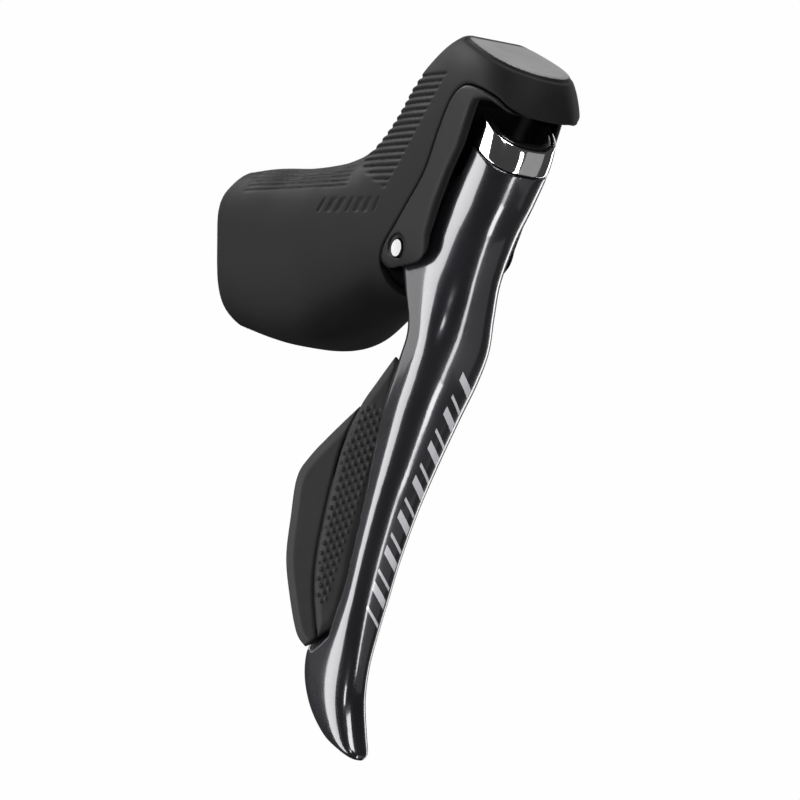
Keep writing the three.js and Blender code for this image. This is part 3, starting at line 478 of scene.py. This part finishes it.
# The seam round the top panel of the pommel.
CREASE_DROP = 0.7
CREASE_RADIUS = 0.34
crease = np.sqrt((top_plane + CREASE_DROP) ** 2 + body**2)
seam = crease - CREASE_RADIUS + 4 * ramp(ridge_x + 2 - g.x, 0, 1)
hood = less(outer + ribs + pressed, seam, 0.15)
hood = less(hood, outer + HOOD_WALL)
hood = meet(hood, behind, 0.7)
hood = less(hood, beyond_rear, 0.8)
hood = less(hood, bar - (BAR_RADIUS + 0.5))
hood = less(hood, meet(mouth_plan, np.abs(g.y) - MOUTH_HALF - GAP), 0.3)
hood_skin = g.mesh("hood_skin", hood, share=0.34, smooth=2)
# The faces of the pommel's top panel, lying close to its facet plane, get the lighter grey top_panel
# material: painted sheen, with the light that falls on the top painted into the colour.
painted_sheen_faces = np.zeros(len(hood_skin.data.polygons), np.int32)
centres = np.empty(len(painted_sheen_faces) * 3, np.float32)
hood_skin.data.polygons.foreach_get("center", centres)
centres = centres.reshape(-1, 3) / MM
PANEL_DEPTH = 0.22
from_top = centres[:, 2] - ridge_z - (centres[:, 0] - ridge_x) * FACET_SLOPE
from_top = from_top / math.hypot(1, FACET_SLOPE)
painted_sheen_faces[(np.abs(from_top) < PANEL_DEPTH) & (centres[:, 0] > ridge_x + 2.5)] = 1
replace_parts(hood_skin, "hood_cover")
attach(hood_skin, "bracket")

# Space in the bracket for the pieces it holds. A bore is a radius, an axis, a point on it and its span;
# a pocket is its spans along x, y and z; a well is its half length, half width, level and half depth.
BAND_SPACE = 13.8
BAND_SPACE_HALF = 6.5
BRACKET_BORES = [
    (2.1, "x", (0, -11.6, 0), (7, 31)),  # clamp bolt
    (3.3, "x", (0, -11.6, 0), (26.7, 43)),  # its head
    (2.9, "x", (0, 10.2, 10.5), (-2, 18)),  # hose nut
    (1.2, "x", (0, 8.2, 10.5), (16, 56)),  # fluid drilling
    (8.3, "y", (32, 0, 1), (7.4, FAR)),  # coin cell
    (9.8, "y", (32, 0, 1), (11, FAR)),  # battery door
    (3.2, "y", (80, 0, 40.5), (5.6, FAR)),  # remote button
    (PIN_RADIUS + GAP, "y", (PIVOT_X, 0, 0), (-FAR, FAR)),  # pivot pin
]
BRACKET_POCKETS = [
    ((0, 17), (-20, -8.2), (-6.5, 6.5)),  # clamp lug
    ((26.7, 43), (-20, -11.6), (-3.3, 3.3)),  # way in for the clamp bolt
    ((42.5, 53.5), (-2, 20), (-8, -3)),  # control board
]
LINER_SPACE = (4, 35)
LINER_SPACE_RADIUS = 6.4
LID_X = 88
LID_DROP = 2.3
RESERVOIR_WELLS = [
    (10.3, 5.3, 2.15, 3.85),  # lid
    (6.5, 2.5, -2.5, 3.5),  # fluid
]
PIN_RECESS_RADIUS = 3.3

ahead = g.prism([*offset(parting, GAP), (74, -60), (FAR, -60), (FAR, 27)])
front = g.prism([*ear_outline, (FAR, 27), (FAR, -FAR), (60, -FAR)])
shell = join(meet(outer, ahead, 0.5), outer + HOOD_WALL + GAP)
shell = less(shell, front, 2.4)
shell = meet(shell, 3 - g.x)
shell = less(shell, meet(mouth_plan, np.abs(g.y) - MOUTH_HALF), 0.5)
arm_slot = g.prism([*arc((PIVOT_X, 0), 14.6, 178, 92, 8), (PIVOT_X, 0), (PIVOT_X - 8, -3)])
shell = less(shell, meet(arm_slot, np.abs(g.y) - 5.4))
shell = less(shell, bar - (BAR_RADIUS + GAP))
shell = less(shell, meet(bar - BAND_SPACE, np.abs(g.z) - BAND_SPACE_HALF))
for bore in BRACKET_BORES:
    shell = less(shell, g.tube(*bore))
for pocket in BRACKET_POCKETS:
    shell = less(shell, g.block(*pocket))
c, s = math.cos(CYLINDER_TILT), math.sin(CYLINDER_TILT)
bore_x, bore_z = g.x - PIVOT_X - ARM_END[0], g.z - ARM_END[1]
along, across = bore_x * s + bore_z * c, bore_x * c - bore_z * s
bore_r = np.sqrt(across**2 + g.y**2)
liner_foot, liner_top = LINER_SPACE
liner_ends = np.maximum(liner_foot - along, along - liner_top)
shell = less(shell, np.maximum(bore_r - LINER_SPACE_RADIUS, liner_ends))
facet_tilt = math.atan(-FACET_SLOPE)
lid_z = ridge_z + (LID_X - ridge_x) * FACET_SLOPE - LID_DROP / math.cos(facet_tilt)
c, s = math.cos(facet_tilt), math.sin(facet_tilt)
lid_u = (g.x - LID_X) * c - (g.z - lid_z) * s
lid_w = (g.x - LID_X) * s + (g.z - lid_z) * c
for half_length, half_width, level, half_depth in RESERVOIR_WELLS:
    sides = np.maximum(np.abs(lid_u) - half_length, np.abs(g.y) - half_width)
    shell = less(shell, np.maximum(sides, np.abs(lid_w - level) - half_depth))
pin_recess = g.tube(PIN_RECESS_RADIUS, "y", (PIVOT_X, 0, 0), (-EAR_OUTER - 0.6, -EAR_OUTER + 0.6))
shell = less(shell, pin_recess, 0.2)
bracket_shell = g.mesh("bracket_shell", shell, share=0.4, smooth=2)
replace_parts(bracket_shell, "bracket_body")
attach(bracket_shell, "bracket")
del body, outer, hood, shell, bore_r, crease

# ---------------------------------------------------------------- lever blade and its bright cap
g = Grid((-8, -10.5, -116), (33, 10.5, 42), BODY_STEP)
outer = g.loft(blade_rings(steps=400, sides=200), reach=4.0)
z_line = g.z[0, 0, :]
dense = station_at(BLADE_STATIONS, np.linspace(0, 1, 800))
rank = np.argsort(dense[:, 0])
half, rear = [np.interp(z_line, dense[rank, 0], dense[rank, i])[None, None, :] for i in (3, 2)]
front_x = np.interp(z_line, dense[rank, 0], dense[rank, 1])[None, None, :]
middle = rear + (front_x - rear) * BLADE_WAIST
wall = BLADE_WALL + (CAP_WALL + GAP) * ramp(g.z, 22, 26)
hollow = join(outer + wall, meet(np.abs(g.y) - (half - wall), g.x - middle), 0.8)
hollow = meet(hollow, CHANNEL_END - g.z - 2, 1.5)
seat = g.prism(CAP_BOTTOM)
above_cap = g.prism(CAP_TOP)
blade = join(less(outer, seat, 0.15), outer + CAP_WALL + GAP)
blade = less(blade, hollow, 0.35)
blade = less(blade, above_cap, 0.3)
back_cut = [
    (-FAR, -9), *arc((0, 0), 6.6, 235, 90, 12), (6, 14), (9.6, 20), (CAP_REAR, 28), (CAP_REAR, FAR),
    (-FAR, FAR),
]
low_cut = [(-FAR, -5.4), (-3.8, -5.4), (3, -9), (7.4, -13.5), (7.4, -18), (-FAR, -18)]
blade = less(less(blade, g.prism(back_cut), 0.5), g.prism(low_cut), 0.5)
blade = less(blade, g.tube(PIN_RADIUS + GAP, "y", (0, 0, 0)), 0.2)

# The opening that the paddles swing in, in the wings' own plan: u rearward and outboard, t through them.
SLOT_DEPTHS = (-0.7, 3.6)
WING_ANGLE = math.radians(30)
WING_ROOT = (7, -6.3)
wing_c, wing_s = math.cos(WING_ANGLE), math.sin(WING_ANGLE)
u = -(g.x - WING_ROOT[0]) * wing_c - (g.y - WING_ROOT[1]) * wing_s
t = -(g.x - WING_ROOT[0]) * wing_s + (g.y - WING_ROOT[1]) * wing_c

slot_outline = [
    (-8, -23), (-8, -84), (-5.2, -86), (-4.8, -90), (-1.9, -94.4), (0.2, -97), (2.3, -97.8), (7, -95.2),
    (30, -95.2), (30, -23),
]
opening = meet(plan(slot_outline, u, g.z), np.maximum(SLOT_DEPTHS[0] - t, t - SLOT_DEPTHS[1]))
blade = less(blade, opening, 0.3)
lever_skin = g.mesh("blade_skin", blade, place=from_lever, share=0.5, smooth=3)
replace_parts(lever_skin, "lever_blade")
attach(lever_skin, "lever")

g = Grid((9, -10.2, 22), (24, 10.2, 41), CAP_STEP)
outer = g.loft(blade_rings(steps=700, sides=360), reach=3.0)
cap = meet(outer, g.prism([(x, z + GAP) for x, z in CAP_BOTTOM]), 0.3)
cap = less(cap, outer + CAP_WALL, 0.1)
cap = less(cap, g.prism(CAP_TOP), 0.3)
cap = meet(cap, CAP_REAR - g.x, 0.3)
cap_skin = g.mesh("cap_skin", cap, place=from_lever, share=0.6, smooth=6)
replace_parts(cap_skin, "blade_cap")
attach(cap_skin, "lever")
del outer, blade, cap, hollow, opening

# ---------------------------------------------------------------- shift paddles
# Their grid lies in the wings' own plan: x is u, z is the lever's z, and y runs outboard through them.
HINGE = (11, -1.2)
PLATE = 1.8
KNUCKLE_RADIUS = 2.3
PADDLE_PIN_RADIUS = 1
FRONT_KNUCKLE = (-36, -28)
REAR_KNUCKLE = (-49, -41)
SEAM = [
    (2.6, -24.4), (5.2, -32), (7.2, -38.5), (8.4, -48), (8.2, -56), (7, -69), (5.6, -78), (3.4, -85),
    (-0.5, -93.6),
]
FRONT_ROOT = [(-4, -89), (-4.4, -82), (-3, -70), (-2, -58), (-1.2, -44), (-0.6, -34), (0.4, -26)]
REAR_OUTLINE = [
    (7.8, -39), (12.4, -47.3), (16, -54.5), (17.6, -60.5), (16, -70), (14, -79), (10.5, -86.5),
    (5.6, -94.6), (2.2, -97),
]
STUD_SPACING = (2.5, 2.4)
STUD_HEIGHT = 0.34
CROWN = 0.35
RIM_BEVEL = 0.62
hinge_u = -(HINGE[0] - WING_ROOT[0]) * wing_c - (HINGE[1] - WING_ROOT[1]) * wing_s
hinge_t = -(HINGE[0] - WING_ROOT[0]) * wing_s + (HINGE[1] - WING_ROOT[1]) * wing_c


def from_wing(p):
    """From the wings' plan into the row frame."""
    x = WING_ROOT[0] - p[:, 0] * wing_c + p[:, 1] * wing_s
    y = WING_ROOT[1] - p[:, 0] * wing_s - p[:, 1] * wing_c
    return from_lever(np.stack([x, y, p[:, 2]], axis=1))


def slab(outline, low, high, r=0.3):
    """A plate of that outline between two depths below the wings' outer face."""
    return meet(plan(outline, g.x, g.z), np.maximum(low + g.y, -g.y - high), r)


def hinge_rod(radius, span):
    return g.tube(radius, "z", (hinge_u, -hinge_t, 0), span)


def paddle(name, solid, node, body):
    pierced = less(solid, hinge_rod(PADDLE_PIN_RADIUS + 0.25, (-FAR, FAR)))
    made = g.mesh(name, pierced, place=from_wing, smooth=1)
    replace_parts(made, node)
    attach(made, body)
    return made


g = Grid((-9, -5.4, -98), (19, 0.9, -23), PADDLE_STEP)
face = plan([*curve(SEAM, 60), *curve(FRONT_ROOT, 40)], g.x, g.z)
waves = [np.cos(2 * np.pi * line / pitch) for line, pitch in zip((g.x, g.z), STUD_SPACING)]
studs = ramp(waves[0] * waves[1], 0.1, 0.75)
studded = ramp(-face, 0.7, 1.3) * ramp(-g.z, 36, 39) * ramp(g.z, -87, -84) * ramp(g.x, -0.4, 0.6)
crown = CROWN * ramp(face, -2.2, 0)
plate = meet(face, np.maximum(g.y - STUD_HEIGHT * studs * studded + crown, -g.y - PLATE), 0.7)
high, low = FRONT_KNUCKLE[1], FRONT_KNUCKLE[0]
web = slab([(-5, high), (1, high), (1, low), (-5, low)], 0.6, 3)
solid = join(join(plate, web, 0.3), hinge_rod(KNUCKLE_RADIUS, FRONT_KNUCKLE), 0.3)
front_skin = paddle("front_paddle_skin", solid, "front_paddle", "front_paddle")

high, low = REAR_KNUCKLE[1], REAR_KNUCKLE[0]
seam_side = offset(curve(SEAM[2:], 60), GAP)[::-1]
face = plan([*curve(REAR_OUTLINE, 70), (1, -96), *seam_side], g.x, g.z)
rim = plan([*curve(REAR_OUTLINE, 70), (-FAR, -97), (-FAR, -39)], g.x, g.z)
bevel = RIM_BEVEL * ramp(rim, -2.6, 0)
plate = meet(face, np.maximum(g.y + 0.4 + bevel, -g.y - PLATE - 0.6), 0.6)
spar = slab([(-5, high), (3, high - 2), (11.4, -51), (11.4, -61), (3, low - 4), (-5, low)], 3.1, 4.5)
root = slab([(9.2, -51), (11.4, -51), (11.4, -61), (9.2, -61)], 1, 4.5)
solid = join(join(join(plate, root), spar, 0.2), hinge_rod(KNUCKLE_RADIUS, REAR_KNUCKLE), 0.3)
rear_skin = paddle("rear_paddle_skin", solid, "rear_paddle", "rear_paddle")
del face, plate, solid

# ---------------------------------------------------------------- piston spring
SPRING_RADIUS = 3.2
SPRING_WIRE = 0.4
SPRING_SPAN = (23.6, 31)
SPRING_TURNS = 6
SPRING_STEPS = 30
SPRING_SIDES = 10
SPRING_FLAT = 0.85
s, c = math.sin(CYLINDER_TILT), math.cos(CYLINDER_TILT)
bore_foot = Vector((PIVOT_X + ARM_END[0], 0, ARM_END[1]))


def coil_rings():
    """A round wire wound about the bore, in the bore's own frame, its end turns lying close."""
    turn = np.linspace(0, SPRING_TURNS, SPRING_TURNS * SPRING_STEPS + 1)[:, None]
    low, high = SPRING_SPAN
    ends = [0, 1, SPRING_TURNS - 1, SPRING_TURNS]
    rise = np.interp(turn, ends, [low, low + SPRING_FLAT, high - SPRING_FLAT, high])
    round_wire = 2 * np.pi * np.arange(SPRING_SIDES)[None, :] / SPRING_SIDES
    r = SPRING_RADIUS + SPRING_WIRE * np.cos(round_wire)
    angle = 2 * np.pi * turn
    return np.stack([r * np.cos(angle), r * np.sin(angle), rise + SPRING_WIRE * np.sin(round_wire)], axis=2)


rings = coil_rings()
steps, sides, _ = rings.shape
across, level, along = rings.reshape(-1, 3).T
spots = np.stack([
    bore_foot.x + across * c + along * s,
    level,
    bore_foot.z - across * s + along * c,
], axis=1) * MM
index = np.arange(steps * sides).reshape(steps, sides)
ahead_one = np.roll(index, -1, axis=1)
around = np.stack([index[:-1], ahead_one[:-1], ahead_one[1:], index[1:]], axis=2).reshape(-1, 4).tolist()
spring_data = bpy.data.meshes.new("spring_coil")
spring_data.from_pydata(spots.tolist(), [], around + [index[0][::-1].tolist(), index[-1].tolist()])
shape = bmesh.new()
shape.from_mesh(spring_data)
bmesh.ops.recalc_face_normals(shape, faces=shape.faces)
shape.to_mesh(spring_data)
shape.free()
spring_data.shade_smooth()
spring_coil = bpy.data.objects.new("spring_coil", spring_data)
bpy.context.scene.collection.objects.link(spring_coil)
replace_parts(spring_coil, "piston_spring")
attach(spring_coil, "bracket")
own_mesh(spring_coil)

# ---------------------------------------------------------------- materials
def socket(tree, kind, *sources, **settings):
    """Adds a shader node with these inputs, in order, and gives its first output."""
    made = tree.nodes.new("ShaderNode" + kind)
    for key, value in settings.items():
        setattr(made, key, value)
    for place, source in enumerate(sources):
        if isinstance(source, bpy.types.NodeSocket):
            tree.links.new(source, made.inputs[place])
        elif source is not None:
            made.inputs[place].default_value = source
    return made.outputs[0]


def noise(tree, where, size, detail=3.0):
    """Cloudy noise from 0 to 1 with features about size mm across."""
    return socket(tree, "TexNoise", where, None, 1 / (size * MM), detail)


def spread(tree, value, low, high):
    """Noise, which stays near its middle, stretched to run from low to high."""
    return socket(tree, "MapRange", value, 0.3, 0.7, low, high)


def finish(slot, dark, light, metal, rough, grain, depth, patch=9.0, stretch=(1, 1, 1), **inputs):
    """A material whose colour runs from dark to light, and whose roughness runs over rough, in patches of
    the size patch; its surface has a grain of the size and depth given. Sizes are in mm."""
    material = bpy.data.materials.new(slot)
    material.use_nodes = True
    tree = material.node_tree
    shader = tree.nodes["Principled BSDF"]
    where = tree.nodes.new("ShaderNodeTexCoord").outputs["Object"]
    drawn = socket(tree, "VectorMath", where, stretch, operation="MULTIPLY")
    clouds = noise(tree, where, patch)
    grains = noise(tree, drawn, grain, 2.0)
    blend = socket(tree, "Math", clouds, grains, operation="ADD")
    share = socket(tree, "MapRange", blend, 0.7, 1.3, 0.0, 1.0)
    colour = socket(tree, "MixRGB", share, (*dark, 1), (*light, 1))
    tree.links.new(colour, shader.inputs["Base Color"])
    tree.links.new(spread(tree, clouds, *rough), shader.inputs["Roughness"])
    bump = tree.nodes.new("ShaderNodeBump")
    bump.inputs["Strength"].default_value = 1.0
    bump.inputs["Distance"].default_value = depth * MM
    tree.links.new(grains, bump.inputs["Height"])
    tree.links.new(bump.outputs["Normal"], shader.inputs["Normal"])
    shader.inputs["Metallic"].default_value = metal
    for name, value in inputs.items():
        shader.inputs[name.replace("_", " ")].default_value = value
    return material


def grey(dark, light=None):
    return ((dark,) * 3, (light or dark * 1.25,) * 3)


PAINT_METAL = 0.7
materials = {
    "rubber": finish(
        "rubber", *grey(0.005, 0.007), 0, (0.52, 0.62), 0.35, 0.012, Specular_IOR_Level=0.055,
    ),
    "casting": finish(
        "casting", *grey(0.0045, 0.006), 0, (0.38, 0.48), 0.5, 0.008, Specular_IOR_Level=0.08,
    ),
    "plastic": finish(
        "plastic", *grey(0.007, 0.01), 0, (0.42, 0.52), 0.4, 0.008, Specular_IOR_Level=0.12,
    ),
    "seal": finish("seal", *grey(0.012), 0, (0.45, 0.6), 0.6, 0.006),
    "bladder": finish("bladder", *grey(0.02), 0, (0.5, 0.65), 0.8, 0.01),
    "chrome": finish("chrome", *grey(0.68, 0.74), 1, (0.05, 0.1), 2.0, 0.0015),
    "steel": finish("steel", *grey(0.42, 0.52), 1, (0.22, 0.34), 0.5, 0.004, stretch=(1, 1, 6)),
    "dark_steel": finish("dark_steel", *grey(0.06, 0.09), 1, (0.35, 0.48), 0.5, 0.004),
    "alloy": finish("alloy", *grey(0.36, 0.44), 1, (0.28, 0.4), 0.6, 0.005),
    "brass": finish("brass", (0.42, 0.27, 0.09), (0.55, 0.38, 0.14), 1, (0.25, 0.38), 0.6, 0.004),
    "circuit_board": finish(
        "circuit_board", (0.01, 0.05, 0.025), (0.02, 0.08, 0.04), 0, (0.3, 0.45), 1.2, 0.01,
    ),
    "blade_paint": finish(
        "blade_paint", (0.015, 0.0145, 0.018), (0.024, 0.023, 0.028), PAINT_METAL, (0.24, 0.3), 0.16, 0.001,
        patch=20, Coat_Weight=1.0, Coat_Roughness=0.1, Coat_IOR=1.6,
    ),
}
# The top panel's material is a lighter copy of the rubber, about seven times as light. It is painted sheen:
# the light falling on the pommel's top is painted in.
top_panel = finish(
    "top_panel", *grey(0.035, 0.045), 0, (0.36, 0.46), 0.3, 0.006, Specular_IOR_Level=0.4,
)

# Plain slanted silver bars printed down the blade's front, wide and thin by turns. A bar's middle and half
# width are shares of the pitch.
PRINT_TOP = -21.0
PRINT_LOW = -84.0
PRINT_PITCH = 9.0
PRINT_SIDE = 3.3
PRINT_DRIFT = 3
PRINT_HALF = 2.4
PRINT_SLANT = 0.9
PRINT_FRONT = 13.0
PRINT_WIDE = (0.3, 0.12)
PRINT_THIN = (0.72, 0.05)
PRINT_SILVER = (0.38, 0.38, 0.4, 1)
PRINT_METAL = 0.2
tree = materials["blade_paint"].node_tree
shader = tree.nodes["Principled BSDF"]
where = tree.nodes.new("ShaderNodeTexCoord").outputs["Object"]
tilt_c, tilt_s = math.cos(LEVER_TILT), math.sin(LEVER_TILT)


def step(kind, *sources):
    return socket(tree, "Math", *sources, operation=kind)


moved = socket(tree, "VectorMath", where, (PIVOT_X * MM, 0, 0), operation="SUBTRACT")
scaled = socket(tree, "VectorMath", moved, (1 / MM,) * 3, operation="MULTIPLY")


def along_axis(axis):
    made = tree.nodes.new("ShaderNodeVectorMath")
    made.operation = "DOT_PRODUCT"
    tree.links.new(scaled, made.inputs[0])
    made.inputs[1].default_value = axis
    return made.outputs["Value"]


def bar_at(beat, place):
    """1 inside the bar at that place along the pitch, and 0 outside it."""
    middle, half = place
    return step("LESS_THAN", step("ABSOLUTE", step("SUBTRACT", beat, middle)), half)


mark_x = along_axis((tilt_c, 0, -tilt_s))
mark_y = along_axis((0, 1, 0))
mark_z = along_axis((tilt_s, 0, tilt_c))
drift = step("MULTIPLY", step("SUBTRACT", mark_z, PRINT_TOP), PRINT_DRIFT / (PRINT_TOP - PRINT_LOW))
side = step("SUBTRACT", step("SUBTRACT", mark_y, PRINT_SIDE), drift)
run = step("ADD", mark_z, step("MULTIPLY", side, PRINT_SLANT))
beat = step("FRACT", step("DIVIDE", run, PRINT_PITCH))
bars = step("ADD", bar_at(beat, PRINT_WIDE), bar_at(beat, PRINT_THIN))
for test in (
    step("LESS_THAN", step("ABSOLUTE", side), PRINT_HALF),
    step("GREATER_THAN", mark_x, PRINT_FRONT),
    step("LESS_THAN", run, PRINT_TOP),
    step("GREATER_THAN", run, PRINT_LOW),
):
    bars = step("MULTIPLY", bars, test)
paint = shader.inputs["Base Color"].links[0].from_socket
printed = socket(tree, "MixRGB", bars, paint, PRINT_SILVER)
tree.links.new(printed, shader.inputs["Base Color"])
shine = socket(tree, "MapRange", bars, 0.0, 1.0, PAINT_METAL, PRINT_METAL)
tree.links.new(shine, shader.inputs["Metallic"])

# ---------------------------------------------------------------- the CAD nodes that show as they are
BEVEL_WIDTH = 0.12 * MM
SHARP = math.radians(32)
NEARLY_FLAT = math.radians(0.5)
slot_of = {row["node"]: row["material_slot"] for row in frame["record"]["subparts"]}
skins = {
    hood_skin: "rubber", bracket_shell: "casting", lever_skin: "blade_paint", cap_skin: "chrome",
    front_skin: "plastic", rear_skin: "plastic", spring_coil: "steel",
}
for piece, slot in skins.items():
    piece.data.materials.clear()
    piece.data.materials.append(materials[slot])
# The top panel's faces get the lighter grey, which is painted sheen.
hood_skin.data.materials.append(top_panel)
hood_skin.data.polygons.foreach_set("material_index", painted_sheen_faces)
replaced = {node for piece in skins for node in piece["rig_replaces"]}
for name, piece in nodes.items():
    if name in replaced:
        continue
    if not piece.material_slots:
        piece.data.materials.append(materials[slot_of[name]])
    for material_slot in piece.material_slots:
        material_slot.material = materials[slot_of[name]]
    piece.data.polygons.foreach_set("use_smooth", [True] * len(piece.data.polygons))
    flat = piece.modifiers.new("flat", "DECIMATE")
    flat.decimate_type = "DISSOLVE"
    flat.angle_limit = NEARLY_FLAT
    edges = piece.modifiers.new("edges", "BEVEL")
    edges.width = BEVEL_WIDTH
    edges.segments = 2
    edges.limit_method = "ANGLE"
    edges.angle_limit = SHARP
    edges.harden_normals = True

# ---------------------------------------------------------------- floor, light and camera
FLOOR_Z = -0.9
FLOOR_HALF = 4.0
sheet = bmesh.new()
bmesh.ops.create_grid(sheet, x_segments=8, y_segments=8, size=FLOOR_HALF)
floor_data = bpy.data.meshes.new("floor")
sheet.to_mesh(floor_data)
sheet.free()
floor = bpy.data.objects.new("floor", floor_data)
floor.location = (0, 0, FLOOR_Z)
bpy.context.scene.collection.objects.link(floor)
pale = {"Emission_Color": (0.8, 0.8, 0.8, 1), "Emission_Strength": 0.75}
floor_finish = finish("floor", *grey(0.78, 0.82), 0, (0.7, 0.8), 4, 0.02, patch=400, **pale)
floor_data.materials.append(floor_finish)
floor.visible_glossy = False
floor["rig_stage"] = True

# The camera looks at the object from outboard, ahead and a little below, and leans with it. The width of
# the view and the aim, right of and below the pivot pin's end, are in millimetres.
AIM_TURN = math.radians(56)
AIM_DIP = math.radians(8)
AIM_RIGHT = 1.04
AIM_DOWN = 35.2
PIN_END_Y = -13.25
dip_c, dip_s = math.cos(AIM_DIP), math.sin(AIM_DIP)
right = Vector((math.cos(AIM_TURN), math.sin(AIM_TURN) * dip_c, math.sin(AIM_TURN) * dip_s))
up = Vector((0, -dip_s, dip_c))
toward = right.cross(up)
up = toward.cross(right)
LENS = 400
SENSOR = 36
VIEW_WIDTH = 184.8
camera_far = VIEW_WIDTH * LENS / SENSOR
pin_end = Vector((PIVOT_X, PIN_END_Y, 0))
aim = pin_end + right * AIM_RIGHT - up * AIM_DOWN
camera_data = bpy.data.cameras.new("camera")
camera_data.lens = LENS
camera_data.sensor_width = SENSOR
camera_data.clip_end = 50
camera = bpy.data.objects.new("camera", camera_data)
turn = Matrix((right, up, toward)).transposed()
camera.matrix_world = Matrix.Translation((aim + toward * camera_far) * MM) @ turn.to_4x4()
bpy.context.scene.collection.objects.link(camera)
bpy.context.scene.camera = camera

MIDDLE = Vector((0.078, 0, -0.03))


def softbox(name, place, far, size, radiance):
    """A rectangular light of that width and height, facing the object from that azimuth and elevation."""
    azimuth, elevation = (math.radians(a) for a in place)
    level = math.cos(elevation)
    direction = Vector((math.cos(azimuth) * level, math.sin(azimuth) * level, math.sin(elevation)))
    data = bpy.data.lights.new(name, "AREA")
    data.shape = "RECTANGLE"
    data.size, data.size_y = size
    data.energy = radiance * math.pi * size[0] * size[1]
    lamp = bpy.data.objects.new(name, data)
    lamp.location = MIDDLE + direction * far
    lamp.rotation_euler = direction.to_track_quat("Z", "Y").to_euler()
    bpy.context.scene.collection.objects.link(lamp)


# Each row is a light's name, its azimuth and elevation in degrees, its distance, width and height in metres,
# and its radiance. The name of the place that its reflection makes bright stands beside it.
LIGHTS = [
    ("key_strip", (-119, -6), 0.8, (0.48, 1.1), 7.5),  # the long stripe down the blade
    ("side_panel", (-148, 17), 0.8, (0.34, 0.45), 1.4),  # the blade's flank and the hood's side
    ("crest_panel", (-161, 34), 0.8, (0.25, 0.2), 26),  # the hood's crest
    ("back_panel", (140, 37), 0.9, (0.8, 0.6), 1.2),  # the top panel
    ("over_camera", (-15, 42), 0.9, (0.5, 0.4), 11),  # ribs, ear and paddles
    ("top_panel", (120, 80), 0.8, (0.6, 0.6), 5),  # the top panel's edge
    ("rim_strip", (106, -3), 0.8, (0.18, 1.0), 4),  # the blade's far edge
    ("neck_spot", (20, -50), 0.75, (0.15, 0.15), 13),  # a spot on the blade's neck
    ("knee_strip", (18, -26), 0.8, (0.11, 0.5), 10),  # the short stripe at the knee
    ("toe_spot", (-46, 8), 0.8, (0.15, 0.27), 13),  # the oval on the blade's toe
    ("front_fill", (43, -17), 1.1, (0.6, 0.8), 0.3),  # a little fill in front
]
for row in LIGHTS:
    softbox(*row)

# The camera sees a white backdrop, while the object is lit and mirrored by a dim room.
BACKDROP_WHITE = (0.99, 0.99, 0.99, 1)
ROOM_LIGHT = (0.06, 0.06, 0.06, 1)
world = bpy.data.worlds.new("world")
bpy.context.scene.world = world
world.use_nodes = True
sky = world.node_tree
backdrop = sky.nodes["Background"]
lit = sky.nodes.new("ShaderNodeBackground")
seen = sky.nodes.new("ShaderNodeLightPath").outputs["Is Camera Ray"]
mixed = sky.nodes.new("ShaderNodeMixShader")
backdrop.inputs["Color"].default_value = BACKDROP_WHITE
lit.inputs["Color"].default_value = ROOM_LIGHT
sky.links.new(seen, mixed.inputs[0])
sky.links.new(lit.outputs[0], mixed.inputs[1])
sky.links.new(backdrop.outputs[0], mixed.inputs[2])
sky.links.new(mixed.outputs[0], sky.nodes["World Output"].inputs["Surface"])
bpy.context.scene.view_settings.view_transform = "Standard"

low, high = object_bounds()
